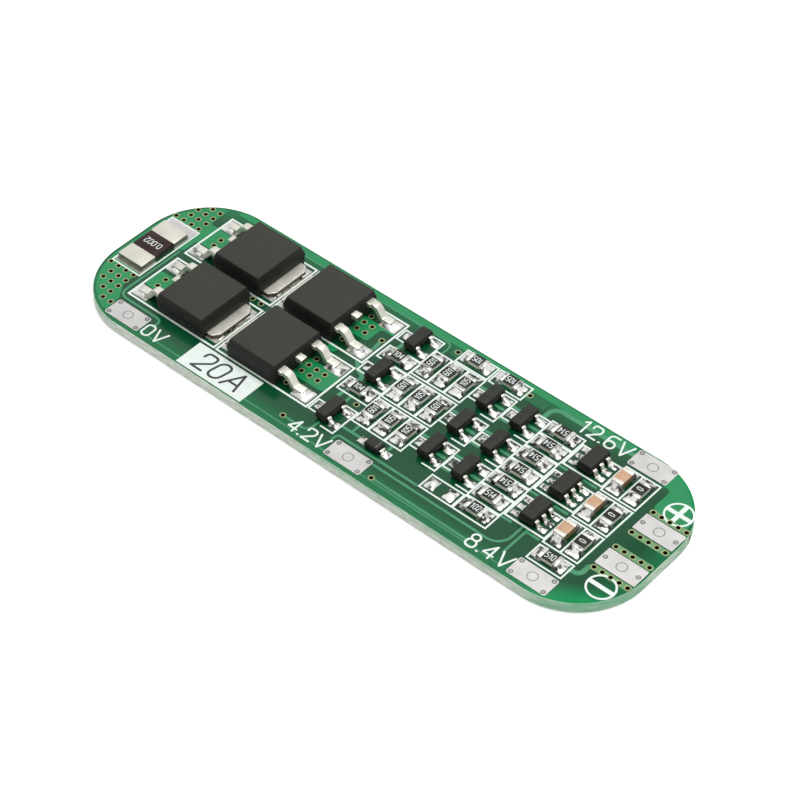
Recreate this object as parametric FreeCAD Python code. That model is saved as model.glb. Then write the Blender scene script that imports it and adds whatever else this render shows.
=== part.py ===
"""Battery management board for three lithium cells in series.

A drilled laminate with rounded ends carries, from left to right, a current shunt, four
power transistors, and the small parts that watch and balance the cells. Six bare tinned
terminals take the cell taps and the output wires.

Millimetres. X runs along the board towards the output terminals, Y towards the 12.6 V
side, Z up. The origin is on the underside, at the middle of the board.
"""
import FreeCAD, Part
import os

V = FreeCAD.Vector
quarter_turn = 90
half_turn = 180

# Board
board_t = 1.2
corner_r = 7.5
edge_near = 0.5
edge_far = 0.2
edge_left = 1.0
edge_right = 0.2

# Bare tinned terminals
terminal_l = 4.3
terminal_w = 2.2
terminal_t = 0.06
output_gap = 3.15
output_offset = 0.175

# Drilled and plated holes
via_r = 0.21
field_pitch = 1.02
field_inset = 0.9
field_clear = 0.5
row_via_count = 5
row_via_inset = 0.35
row_via_clear = 0.24

# Solder on every land
solder_t = 0.05
fillet_rise = 0.8
fillet_hollow = 0.35

# Current shunt
shunt_l = 6.4
shunt_w = 3.2
shunt_h = 0.6
shunt_end = 1.95
shunt_end_step = 0.08
shunt_coat_t = 0.06
shunt_land_far = 1.2
shunt_land_near = 0.35
shunt_land_side = 0.1

# Power transistors
power_l = 6.1
power_w = 6.6
power_h = 2.2
power_side_draft = 0.24
power_tab_draft = 0.34
power_foot_draft = 0.08
tab_reach = 1.1
tab_w = 5.4
tab_t = 0.5
tab_corner = 0.5
tab_depth = 4.6
lead_reach = 2.85
lead_w = 0.78
lead_t = 0.5
lead_pitch = 4.57
lead_level = 1.3
lead_flat = 0.95
lead_foot = 1.15
lead_bend_r = 0.25
lead_embed = 0.8
stub_reach = 0.75
tab_land_margin = 0.14
lead_land_w = 1.6
lead_land_out = 0.85

# Small packages with three or six leads
package_l = 2.9
package_draft = 0.09
package_standoff = 0.08
transistor_w = 1.3
transistor_h = 1.0
transistor_span = 2.4
transistor_land_w = 0.9
monitor_w = 1.6
monitor_h = 1.1
monitor_span = 2.8
monitor_land_w = 0.6
pin_pitch = 0.95
pin_w = 0.42
pin_t = 0.14
pin_foot = 0.36
pin_shoulder = 0.12
pin_embed = 0.2
pin_land_out = 0.55
pin_land_in = 0.1

# Chip resistors and capacitors
chip_l = 2.0
chip_w = 1.25
chip_end_step = 0.03
chip_land_l = 1.2
chip_land_out = 0.75
chip_land_side = 0.12
resistor_h = 0.5
resistor_end = 0.36
resistor_coat_t = 0.05
resistor_coat_margin = 0.06
capacitor_h = 0.85
capacitor_end = 0.42

# Small diode
diode_l = 1.7
diode_w = 1.15
diode_h = 0.7
diode_span = 2.6
diode_pin_w = 0.6
diode_land_out = 0.28

# Gaps between neighbouring columns, from the left end to the right end
gap_shunt_power = 2.1
gap_power_power = 0.87
gap_power_driver = 2.14
gap_driver_bleed = 1.06
gap_bleed_bleed = 0.75
gap_bleed_balance = 1.17
gap_balance_balance = 1.55
gap_balance_ladder = 1.5
gap_ladder_monitor = 1.85
gap_monitor_filter = 1.23
gap_filter_link = 0.65
gap_link_output = 1.33

# Gaps between neighbouring rows
label_strip = 3.85
power_gap_y = 1.1
power_edge_far = 1.85
gap_terminal_ladder = 0.875
gap_ladder_ladder = 0.8
gap_ladder_terminal = 0.475
ladder_count = 7
gap_driver_gate = 0.7
gap_gate_low_driver = 1.83
gap_bleed_supply = 0.65
gap_terminal_end_row = 0.73

# Columns: each one follows its left neighbour, and together they set the board's length
power_span = lead_reach + power_l + tab_reach
column_widths = [
    edge_left, shunt_w, gap_shunt_power, power_span, gap_power_power, power_span,
    gap_power_driver, transistor_span, gap_driver_bleed, chip_w, gap_bleed_bleed, chip_w,
    gap_bleed_bleed, chip_w, gap_bleed_balance, transistor_span, gap_balance_balance,
    transistor_span, gap_balance_ladder, chip_l, gap_ladder_monitor, monitor_span,
    gap_monitor_filter, chip_w, gap_filter_link, chip_w, gap_link_output, terminal_l, edge_right,
]
board_l = sum(column_widths)
left = -board_l / 2
right = board_l / 2
column_x = [left + sum(column_widths[:i]) + width / 2 for i, width in enumerate(column_widths)]
shunt_x = column_x[1]
power_left_tip = column_x[3] - power_span / 2
power_right_tip = column_x[5] + power_span / 2
power_left_x = power_left_tip + lead_reach + power_l / 2
power_right_x = power_right_tip - lead_reach - power_l / 2
driver_x = column_x[7]
bleed_x = [column_x[9], column_x[11], column_x[13]]
balance_x = [column_x[15], column_x[17]]
ladder_x = column_x[19]
monitor_x = column_x[21]
filter_x = column_x[23]
link_x = column_x[25]
output_x = column_x[27]
end_pair_x = (filter_x + link_x) / 2
bleed_pair_x = (bleed_x[1] + bleed_x[2]) / 2
zero_x = power_left_tip - lead_land_out + terminal_l / 2

# Rows: the board is as wide as its widest stack of rows
ladder_pitch = chip_w + gap_ladder_ladder
ladder_stack = chip_w + (ladder_count - 1) * ladder_pitch
control_stack = (edge_near + terminal_w + gap_terminal_ladder + ladder_stack
                 + gap_ladder_terminal + terminal_w + edge_far)
power_stack = label_strip + 2 * power_w + power_gap_y + power_edge_far
board_w = max(control_stack, power_stack)
near = -board_w / 2
far = board_w / 2
near_terminal_y = near + edge_near + terminal_w / 2
far_terminal_y = far - edge_far - terminal_w / 2
ladder_start_y = near_terminal_y + terminal_w / 2 + gap_terminal_ladder + chip_w / 2
ladder_y = [ladder_start_y + i * ladder_pitch for i in range(ladder_count)]
group_y = [(ladder_y[i] + ladder_y[i + 1]) / 2 for i in range(ladder_count - 2, 0, -2)]
power_y = [near + label_strip + power_w / 2 + i * (power_w + power_gap_y) for i in range(2)]
driver_gate_pitch = package_l / 2 + gap_driver_gate + chip_w / 2
gate_y = [group_y[1] + driver_gate_pitch, group_y[1] - driver_gate_pitch]
low_driver_y = gate_y[1] - chip_w / 2 - gap_gate_low_driver - package_l / 2
driver_y = [group_y[1] + 2 * driver_gate_pitch, group_y[1], low_driver_y]
end_row_y = near_terminal_y + terminal_w / 2 + gap_terminal_end_row + chip_w / 2
supply_y = group_y[0] + chip_l / 2 + chip_land_out + gap_bleed_supply + chip_w / 2
plus_y = output_offset + (output_gap + terminal_w) / 2
minus_y = output_offset - (output_gap + terminal_w) / 2

# Levels
board_top = board_t
seat = board_t + solder_t


def block(x, y, length, width, z0, z1):
    """Upright block about a centre."""
    return Part.makeBox(length, width, z1 - z0, V(x - length / 2, y - width / 2, z0))


def span_block(x0, x1, width, z0, z1):
    """Block between two places along X, centred in Y."""
    return block((x0 + x1) / 2, 0, x1 - x0, width, z0, z1)


def rounded_plate(x, y, length, width, r, z0, z1):
    """Flat plate with rounded corners."""
    plate = block(x, y, length, width, z0, z1)
    upright = [edge for edge in plate.Edges if edge.BoundBox.ZLength > (z1 - z0) / 2]
    return plate.makeFillet(r, upright)


def placed(shape, x, y, z, turn=0):
    """Copy of a shape, turned about Z and then moved."""
    moved = shape.copy()
    moved.rotate(V(0, 0, 0), V(0, 0, 1), turn)
    moved.translate(V(x, y, z))
    return moved


def drafted_mould(length, width, z0, parting, z1, foot_draft, left_draft, right_draft, side_draft):
    """Moulded housing that tapers both ways from its parting line."""
    half_l = length / 2
    half_w = width / 2
    levels = [
        (z0, -half_l + foot_draft, half_l - foot_draft, half_w - foot_draft),
        (parting, -half_l, half_l, half_w),
        (z1, -half_l + left_draft, half_l - right_draft, half_w - side_draft),
    ]
    wires = []
    for z, x0, x1, y in levels:
        corners = [V(x0, -y, z), V(x1, -y, z), V(x1, y, z), V(x0, y, z)]
        wires.append(Part.makePolygon(corners + corners[:1]))
    return Part.makeLoft(wires, True, True)


def bent_strip(points, thickness, width, bend_r=0.0):
    """Metal strip that follows a bent line in the XZ plane, with bends of inside radius bend_r."""
    runs = [(end - start).normalize() for start, end in zip(points, points[1:])]
    normals = [V(-run.z, 0, run.x) for run in runs]
    upper = []
    lower = []
    for i, point in enumerate(points):
        before = normals[max(i - 1, 0)]
        after = normals[min(i, len(normals) - 1)]
        mitre = (before + after) * (thickness / 2 / (1 + before.dot(after)))
        upper.append(point + mitre)
        lower.append(point - mitre)
    loop = upper + lower[::-1]
    strip = Part.Face(Part.makePolygon(loop + loop[:1])).extrude(V(0, width, 0))
    strip.translate(V(0, -width / 2, 0))
    if bend_r:
        for i in range(1, len(points) - 1):
            rises = normals[i - 1].dot(runs[i]) > 0
            inside, outside = (upper[i], lower[i]) if rises else (lower[i], upper[i])
            for corner, r in ((inside, bend_r), (outside, bend_r + thickness)):
                bend = min(strip.Edges, key=lambda edge: edge.CenterOfMass.distanceToPoint(corner))
                strip = strip.makeFillet(r, [bend])
    return strip


def gull_wing(half_body, embed, shoulder, foot, tip, level, thickness, width, bend_r=0.0):
    """Lead that leaves a housing level, steps down and ends in a flat foot."""
    line = [
        V(half_body - embed, 0, level),
        V(half_body + shoulder, 0, level),
        V(tip - foot, 0, thickness / 2),
        V(tip, 0, thickness / 2),
    ]
    return bent_strip(line, thickness, width, bend_r)


def solder_joint(land_in, land_out, land_w, part_end, rise):
    """Solder over a land: thin under the part, with a hollow slope up its end."""
    hollow = V(part_end + (land_out - part_end) * fillet_hollow, 0, rise * fillet_hollow)
    profile = [
        V(land_in, 0, -solder_t),
        V(land_out, 0, -solder_t),
        V(land_out, 0, 0),
        hollow,
        V(part_end, 0, rise),
        V(part_end, 0, 0),
        V(land_in, 0, 0),
    ]
    joint = Part.Face(Part.makePolygon(profile + profile[:1])).extrude(V(0, land_w, 0))
    joint.translate(V(0, -land_w / 2, 0))
    return joint


def mirrored_pair(shape):
    """The shape and its half-turn twin."""
    return [shape, placed(shape, 0, 0, 0, half_turn)]


def via_places():
    """Centres of all the drilled holes."""
    places = []
    far_start = shunt_land_far + shunt_l / 2 + field_clear
    near_start = -shunt_land_near - shunt_l / 2 - field_clear
    far_rows = [(0, 4), (1, 4)]
    near_rows = [(0, 4), (1, 4), (1, 4)]
    for start, step, rows in ((far_start, field_pitch, far_rows), (near_start, -field_pitch, near_rows)):
        for row, (first, last) in enumerate(rows):
            for column in range(first, last):
                places.append((left + field_inset + column * field_pitch, start + row * step))
    row_pitch = (terminal_l - 2 * row_via_inset) / (row_via_count - 1)
    row_offset = terminal_w / 2 + row_via_clear + via_r
    for terminal_y in (plus_y, minus_y):
        for y in (terminal_y + row_offset, terminal_y - row_offset):
            for i in range(row_via_count):
                places.append((output_x - terminal_l / 2 + row_via_inset + i * row_pitch, y))
    return places


def circuit_board():
    """Laminate with rounded ends, drilled through."""
    board = rounded_plate(0, 0, board_l, board_w, corner_r, 0, board_t)
    drills = [Part.makeCylinder(via_r, board_t, V(x, y, 0)) for x, y in via_places()]
    return board.cut(drills)


def terminal(x, y):
    """Tinned terminal pad, flat on the board."""
    return block(x, y, terminal_l, terminal_w, board_top, board_top + terminal_t)


def power_leadframe():
    """Tab with its cut middle stub, and two gull-wing leads towards +X."""
    half_l = power_l / 2
    tab_end = -half_l - tab_reach
    tab_inner = -half_l + tab_depth
    tab = span_block(tab_end, tab_inner, tab_w, 0, tab_t)
    outer_corners = [edge for edge in tab.Edges
                     if edge.BoundBox.ZLength > tab_t / 2 and edge.CenterOfMass.x < tab_end / 2]
    tab = tab.makeChamfer(tab_corner, outer_corners)
    stub = bent_strip([
        V(tab_inner - lead_t, 0, tab_t / 2),
        V(tab_inner, 0, tab_t / 2),
        V(half_l - lead_embed, 0, lead_level),
        V(half_l + stub_reach, 0, lead_level),
    ], lead_t, lead_w)
    lead = gull_wing(half_l, lead_embed, lead_flat, lead_foot, half_l + lead_reach,
                     lead_level, lead_t, lead_w, lead_bend_r)
    leads = [placed(lead, 0, side * lead_pitch / 2, 0) for side in (-1, 1)]
    return Part.makeCompound([tab.fuse(stub).removeSplitter()] + leads)


def power_body(leadframe):
    """Moulded housing around the lead frame, open at the tab's underside."""
    mould = drafted_mould(power_l, power_w, 0, lead_level, power_h, power_foot_draft,
                          power_tab_draft, power_side_draft, power_side_draft)
    return mould.cut(leadframe)


def power_solder():
    """Solder under the tab and under both feet."""
    half_l = power_l / 2
    tip = half_l + lead_reach
    tab_end = -half_l - tab_reach
    land_w = tab_w + 2 * tab_land_margin
    pad = span_block(tab_end - tab_land_margin, -half_l + tab_depth, land_w, -solder_t, 0)
    foot = solder_joint(tip - lead_foot, tip + lead_land_out, lead_land_w, tip, lead_t * fillet_rise)
    return [pad] + [placed(foot, 0, side * lead_pitch / 2, 0) for side in (-1, 1)]


def package_mould(width, height):
    """Small moulded housing, long along Y."""
    parting = (package_standoff + height) / 2
    return drafted_mould(width, package_l, package_standoff, parting, height,
                         package_draft, package_draft, package_draft, package_draft)


def package_pins(width, height, span, right_places, left_places):
    """Gull-wing pins on both sides of a small housing, at the given places along Y."""
    level = (package_standoff + height) / 2
    pin = gull_wing(width / 2, pin_embed, pin_shoulder, pin_foot, span / 2, level, pin_t, pin_w)
    pins = [placed(pin, 0, place * pin_pitch, 0) for place in right_places]
    return pins + [placed(pin, 0, place * pin_pitch, 0, half_turn) for place in left_places]


def package_solder(span, land_w, right_places, left_places):
    """Solder under each pin of a small housing."""
    tip = span / 2
    joint = solder_joint(tip - pin_foot - pin_land_in, tip + pin_land_out, land_w, tip, pin_t * fillet_rise)
    joints = [placed(joint, 0, place * pin_pitch, 0) for place in right_places]
    return joints + [placed(joint, 0, place * pin_pitch, 0, half_turn) for place in left_places]


def capped_chip(length, width, height, end, step):
    """Ceramic chip between two metal ends that stand a step above it."""
    core = block(0, 0, length - 2 * end, width, step, height - step)
    cap = span_block(length / 2 - end, length / 2, width, 0, height)
    return [core] + mirrored_pair(cap)


def chip_resistor():
    """Ceramic chip with metal ends and a dark coat between them."""
    pieces = capped_chip(chip_l, chip_w, resistor_h - resistor_coat_t, resistor_end, chip_end_step)
    coat_z = resistor_h - resistor_coat_t - chip_end_step
    coat = block(0, 0, chip_l - 2 * resistor_end, chip_w - 2 * resistor_coat_margin, coat_z, resistor_h)
    return Part.makeCompound(pieces + [coat])


def chip_capacitor():
    """Ceramic block between two metal caps."""
    return Part.makeCompound(capped_chip(chip_l, chip_w, capacitor_h, capacitor_end, chip_end_step))


def chip_solder(height):
    """Solder on both lands of a chip."""
    outer = chip_l / 2 + chip_land_out
    return mirrored_pair(solder_joint(outer - chip_land_l, outer, chip_w + 2 * chip_land_side,
                                      chip_l / 2, height * fillet_rise))


def shunt_resistor():
    """Wide current shunt, long along Y, with a coated middle."""
    pieces = capped_chip(shunt_l, shunt_w, shunt_h, shunt_end, shunt_end_step)
    coat_z = shunt_h - shunt_end_step
    pieces.append(block(0, 0, shunt_l - 2 * shunt_end, shunt_w, coat_z, coat_z + shunt_coat_t))
    return placed(Part.makeCompound(pieces), shunt_x, 0, seat, quarter_turn)


def shunt_solder():
    """Solder on the shunt's two lands, the far one longer."""
    joints = []
    for reach, turn in ((shunt_land_far, quarter_turn), (shunt_land_near, -quarter_turn)):
        end = shunt_l / 2
        joint = solder_joint(end - shunt_end, end + reach, shunt_w + 2 * shunt_land_side,
                             end, shunt_h * fillet_rise)
        joints.append(placed(joint, shunt_x, 0, seat, turn))
    return joints


def signal_diode():
    """Small moulded diode, long along X, with a flat pin at each end."""
    level = (package_standoff + diode_h) / 2
    mould = drafted_mould(diode_l, diode_w, package_standoff, level, diode_h,
                          package_draft, package_draft, package_draft, package_draft)
    pin = gull_wing(diode_l / 2, pin_embed, pin_shoulder, pin_foot - pin_shoulder, diode_span / 2,
                    level, pin_t, diode_pin_w)
    pins = mirrored_pair(pin)
    return Part.makeCompound([mould.cut(pins)] + pins)


def diode_solder():
    """Solder under both pins of the diode."""
    tip = diode_span / 2
    return mirrored_pair(solder_joint(tip - pin_foot, tip + diode_land_out, transistor_land_w,
                                      tip, pin_t * fillet_rise))


def spare_lands():
    """Two tinned lands that carry no part, with solder domed over them."""
    outer = chip_l / 2 + chip_land_out
    land = span_block(outer - chip_land_l, outer, chip_w, -solder_t, 0)
    dome = block(outer - chip_land_l / 2, 0, chip_land_l / 2, chip_w / 2, 0, solder_t)
    return mirrored_pair(land.fuse(dome).removeSplitter())


def build_nodes():
    """Every node of the board with its solid or group of solids."""
    nodes = {
        "circuit_board": circuit_board(),
        "terminal_0v": terminal(zero_x, near_terminal_y),
        "terminal_4v2": terminal(bleed_x[1], near_terminal_y),
        "terminal_8v4": terminal(end_pair_x, near_terminal_y),
        "terminal_12v6": terminal(end_pair_x, far_terminal_y),
        "terminal_plus": terminal(output_x, plus_y),
        "terminal_minus": terminal(output_x, minus_y),
        "shunt_resistor": shunt_resistor(),
    }
    solder = shunt_solder()

    def seat_solder(joints, x, y, turn=0):
        solder.extend(placed(joint, x, y, seat, turn) for joint in joints)

    frame = power_leadframe()
    body = power_body(frame)
    power_columns = ((power_left_x, half_turn), (power_right_x, 0))
    power_places = [(x, y, turn) for x, turn in power_columns for y in power_y]
    for number, (x, y, turn) in enumerate(power_places, 1):
        nodes[f"power_body_{number}"] = placed(body, x, y, seat, turn)
        nodes[f"power_leadframe_{number}"] = placed(frame, x, y, seat, turn)
        seat_solder(power_solder(), x, y, turn)

    transistor_pins = package_pins(transistor_w, transistor_h, transistor_span, (-1, 1), (0,))
    transistor = Part.makeCompound(
        [package_mould(transistor_w, transistor_h).cut(transistor_pins)] + transistor_pins)
    transistor_places = {f"driver_transistor_{i}": (driver_x, y) for i, y in enumerate(driver_y, 1)}
    for i, (x, y) in enumerate([(x, y) for x in balance_x for y in group_y], 1):
        transistor_places[f"balance_transistor_{i}"] = (x, y)
    for name, (x, y) in transistor_places.items():
        nodes[name] = placed(transistor, x, y, seat)
        seat_solder(package_solder(transistor_span, transistor_land_w, (-1, 1), (0,)), x, y)

    rows_of_three = (-1, 0, 1)
    monitor_pins = package_pins(monitor_w, monitor_h, monitor_span, rows_of_three, rows_of_three)
    monitor_body = package_mould(monitor_w, monitor_h).cut(monitor_pins)
    for number, y in enumerate(group_y, 1):
        nodes[f"monitor_chip_body_{number}"] = placed(monitor_body, monitor_x, y, seat)
        nodes[f"monitor_chip_leads_{number}"] = placed(Part.makeCompound(monitor_pins), monitor_x, y, seat)
        seat_solder(package_solder(monitor_span, monitor_land_w, rows_of_three, rows_of_three), monitor_x, y)

    resistor_groups = {
        "gate_resistor": [(driver_x, y, 0) for y in gate_y],
        "bleed_resistor": [(x, y, quarter_turn) for y in group_y for x in bleed_x],
        "supply_resistor": [(x, supply_y, 0) for x in (bleed_pair_x, balance_x[0])],
        "ladder_resistor": [(ladder_x, y, 0) for y in reversed(ladder_y)],
        "link_resistor": [(link_x, y, quarter_turn) for y in group_y],
        "setting_resistor": [(end_pair_x, end_row_y, 0)],
    }
    resistor = chip_resistor()
    for group, places in resistor_groups.items():
        for number, (x, y, turn) in enumerate(places, 1):
            name = f"{group}_{number}" if len(places) > 1 else group
            nodes[name] = placed(resistor, x, y, seat, turn)
            seat_solder(chip_solder(resistor_h), x, y, turn)

    capacitor = chip_capacitor()
    for number, y in enumerate(group_y, 1):
        nodes[f"filter_capacitor_{number}"] = placed(capacitor, filter_x, y, seat, quarter_turn)
        seat_solder(chip_solder(capacitor_h), filter_x, y, quarter_turn)

    nodes["signal_diode"] = placed(signal_diode(), bleed_pair_x, end_row_y, seat)
    seat_solder(diode_solder(), bleed_pair_x, end_row_y)
    seat_solder(spare_lands(), balance_x[1], ladder_y[0])
    nodes["solder_joints"] = Part.makeCompound(solder)
    return nodes


os.makedirs("parts", exist_ok=True)
for node, shape in build_nodes().items():
    shape.exportStep(f"parts/{node}.step")
print(f"board {board_l:.3f} x {board_w:.3f} x {board_t:.2f} mm")
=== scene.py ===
"""Dressed model of a battery management board, built around its packed CAD frame.

The parts stand at their CAD nodes. The holes, the traces and most of the print have places of their own.
Lengths marked in millimetres are turned into metres by MM.
"""
import math

import bpy
from bpy.props import FloatProperty, FloatVectorProperty, IntProperty, PointerProperty
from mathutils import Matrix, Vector, noise


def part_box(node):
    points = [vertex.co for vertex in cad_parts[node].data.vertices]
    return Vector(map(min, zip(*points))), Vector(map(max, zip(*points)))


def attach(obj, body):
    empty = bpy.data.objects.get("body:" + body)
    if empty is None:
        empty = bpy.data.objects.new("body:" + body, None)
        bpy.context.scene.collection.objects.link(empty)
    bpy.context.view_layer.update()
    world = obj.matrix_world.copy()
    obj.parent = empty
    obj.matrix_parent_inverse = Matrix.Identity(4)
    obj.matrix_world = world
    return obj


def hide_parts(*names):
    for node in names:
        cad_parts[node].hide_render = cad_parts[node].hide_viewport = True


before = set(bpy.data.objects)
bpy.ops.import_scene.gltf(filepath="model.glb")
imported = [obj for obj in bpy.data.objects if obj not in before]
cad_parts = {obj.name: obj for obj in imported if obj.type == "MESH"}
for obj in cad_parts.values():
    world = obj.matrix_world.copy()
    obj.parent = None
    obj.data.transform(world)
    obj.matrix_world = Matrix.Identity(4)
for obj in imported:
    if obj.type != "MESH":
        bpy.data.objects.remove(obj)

bl_info = {
    "name": "Battery Management Board",
    "version": (1, 0, 0),
    "blender": (4, 5, 0),
    "location": "View3D > Sidebar > Board",
    "description": "Builds the dressed battery management board and its stage",
    "category": "Object",
}

MM = 0.001
QUARTER = math.pi / 2
MERGE = 0.001 * MM
HOLE_SIDES = 14
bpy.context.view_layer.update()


def low(node):
    """Lowest corner of a CAD node."""
    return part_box(node)[0]


def high(node):
    """Highest corner of a CAD node."""
    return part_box(node)[1]


def centre(node):
    """Middle of a CAD node's box."""
    return (low(node) + high(node)) / 2


def size(node):
    """Length, width and height of a CAD node's box."""
    return high(node) - low(node)


def stand(node, base=None):
    """Place under the middle of a CAD node, at its underside or at the base node's."""
    return (centre(node).x, centre(node).y, low(base or node).z)


def nodes_like(*prefixes):
    """CAD nodes whose names start with these words, in order."""
    return [name for prefix in prefixes for name in sorted(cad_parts) if name.startswith(prefix)]


def chip_turn(node):
    """Quarter turn for a chip that lies across the board."""
    return QUARTER if size(node).x < size(node).y else 0.0


def power_turn(i):
    """Half turn for a power transistor whose leads point to the left."""
    return math.pi if centre(f"power_leadframe_{i}").x < centre(f"power_body_{i}").x else 0.0


BOARD_TOP = high("circuit_board").z
BOARD_UNDER = low("circuit_board").z
SEAT = low("power_body_1").z
SUNK = 0.01 * MM
CHIPS = ("gate_resistor", "bleed_resistor", "ladder_resistor", "link_resistor", "supply_resistor",
         "setting_resistor", "filter_capacitor")
TRANSISTORS = ("driver_transistor", "balance_transistor")

# Sizes that a part shares with its solder or print
PIN_PITCH = 0.95 * MM
TRANSISTOR_TIP = 1.2 * MM
MONITOR_TIP = 1.4 * MM
DIODE_TIP = 1.3 * MM
POWER_HALF = 3.05 * MM
POWER_TIP = 5.9 * MM
POWER_LEAD_Y = 2.285 * MM
TAB_INNER = 1.5 * MM
CHIP_HALF_W = 0.625 * MM


def srgb(red, green, blue):
    """Linear colour of a screen colour given from 0 to 255."""
    def linear(value):
        value = value / 255
        return value / 12.92 if value <= 0.04045 else ((value + 0.055) / 1.055) ** 2.4
    return (linear(red), linear(green), linear(blue))


def colour(name, description, default):
    """Colour setting."""
    return FloatVectorProperty(name=name, description=description, subtype="COLOR", size=3,
                               min=0.0, max=1.0, default=default)


def length(name, description, default):
    """Length setting, in metres."""
    return FloatProperty(name=name, description=description, subtype="DISTANCE", unit="LENGTH",
                         min=0.0, precision=6, default=default)


class BoardSettings(bpy.types.PropertyGroup):
    """Sizes and colours of the bare board."""
    corner_radius: length("Corner radius", "Radius of the board's four corners", 7.5 * MM)
    corner_steps: IntProperty(name="Corner steps", description="Segments in each corner", min=4, default=24)
    edge_round: length("Edge round", "Small round on the routed edge", 0.05 * MM)
    glow_depth: length("Glow depth", "How far in from the edge the mask starts to brighten", 2.7 * MM)
    glow_full: length("Full glow", "How far in from the edge the mask is brightest", 0.2 * MM)
    copper_height: length("Copper height", "How far copper lifts the mask", 0.035 * MM)
    hole_radius: length("Hole radius", "Radius of the small plated holes", 0.21 * MM)
    ring_radius: length("Ring radius", "Outer radius of the ring round a plated hole", 0.33 * MM)
    plating: length("Plating", "Wall thickness of a plated hole", 0.025 * MM)
    mask: colour("Mask", "Solder mask over bare laminate", srgb(6, 76, 44))
    # Painted glow: brighter mask colour towards the routed edge, standing for light that gets into the
    # laminate
    mask_rim_painted_glow: colour("Mask at the rim", "Solder mask over bare laminate at the routed edge", srgb(4, 150, 86))
    mask_copper: colour("Mask on copper", "Solder mask over copper", srgb(31, 144, 87))
    laminate: colour("Laminate", "Routed edge of the laminate", srgb(226, 236, 222))
    laminate_green: colour("Green laminate", "Routed edge where the mask shines through", srgb(112, 186, 142))
    mask_trace: colour("Mask on traces", "Solder mask over thin traces", srgb(66, 146, 104))
    mask_strip: colour("Mask on strips", "Solder mask over the drilled strips", srgb(100, 158, 106))
    mask_edge: colour("Mask at the edge", "Solder mask over narrow copper along the edges", srgb(24, 104, 66))
    ring: colour("Ring", "Ring round a plated hole", srgb(158, 166, 116))
    barrel: colour("Barrel", "Wall of a plated hole", srgb(70, 58, 30))


class PrintSettings(bpy.types.PropertyGroup):
    """The white print."""
    line_width: length("Line width", "Width of the printed lines", 0.165 * MM)
    ink_height: length("Ink height", "Thickness of the print", 0.014 * MM)
    letter_width: length("Letter stroke", "Stroke of the terminal labels", 0.19 * MM)
    ink: colour("Ink", "White print", srgb(239, 248, 243))
    dark: colour("Dark figures", "Figures left open in the white label", srgb(46, 56, 52))


class MetalSettings(bpy.types.PropertyGroup):
    """Tinned and soldered surfaces."""
    tin: colour("Tin", "Tinned terminals", srgb(202, 200, 198))
    solder: colour("Solder", "Solder joints", srgb(214, 214, 210))
    lead: colour("Leads", "Tinned leads and tabs", srgb(222, 220, 208))
    cut: colour("Cut edge", "Sheared edges of the tabs and stubs", srgb(96, 88, 66))
    cap: colour("Shunt ends", "Metal ends of the shunt", srgb(214, 212, 200))
    # Painted shade: darker copy of the metal for the sides of the shunt and capacitor ends and the shunt's
    # near fillet; also the colour of the diode's band
    side: colour("Metal sides", "Darker sides of the metal ends", srgb(112, 114, 96))
    capacitor_end: colour("Capacitor ends", "Metal ends of the capacitors", srgb(222, 216, 206))


class PackageSettings(bpy.types.PropertyGroup):
    """Bodies of the parts."""
    mould_round: length("Mould round", "Radius of the mould's edges", 0.12 * MM)
    small_round: length("Small round", "Radius of the small housings' edges", 0.06 * MM)
    mould: colour("Moulding", "Power transistor housings", srgb(60, 60, 55))
    small_mould: colour("Small moulding", "Small housings", srgb(52, 52, 49))
    ceramic: colour("Ceramic", "Resistor ceramic", srgb(226, 226, 215))
    coat: colour("Coat", "Dark coat of the chip resistors", srgb(42, 42, 38))
    shunt_coat: colour("Shunt coat", "Coat of the shunt", srgb(48, 26, 28))
    capacitor: colour("Capacitor", "Capacitor ceramic", srgb(204, 164, 130))
    # Painted shade: darker copy of the capacitor colour for the sides of the ceramic
    capacitor_painted_shade: colour("Capacitor sides", "Darker sides of the capacitor ceramic", srgb(122, 94, 62))


class StageSettings(bpy.types.PropertyGroup):
    """Camera, lights and floor."""
    camera_turn: FloatProperty(name="Turn", description="Camera's angle round the board", subtype="ANGLE",
                               unit="ROTATION", default=math.radians(41.743))
    camera_rise: FloatProperty(name="Rise", description="Camera's angle above the board", subtype="ANGLE",
                               unit="ROTATION", default=math.radians(45.064))
    camera_lens: FloatProperty(name="Lens", description="Focal length in millimetres", default=111.907)
    camera_sensor: FloatProperty(name="Sensor", description="Sensor width in millimetres", default=36.0)
    camera_shift: FloatProperty(name="Shift", description="Sideways shift of the frame", default=0.0625)
    camera_place: FloatVectorProperty(name="Place", description="Camera's place from the top face's middle",
                                      subtype="TRANSLATION", unit="LENGTH", size=3, precision=5,
                                      default=(105.68 * MM, -122.66 * MM, 160.9 * MM))
    floor: colour("Floor", "Pale floor", srgb(244, 244, 244))


def settings(name):
    """One of the scene's groups of settings."""
    return getattr(bpy.context.scene, name)


# Materials


FINISH = {}
MASK_GLOSS = 0.36
MOULD_GLOSS = 0.15
MOULD_GRAIN = 5000


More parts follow.
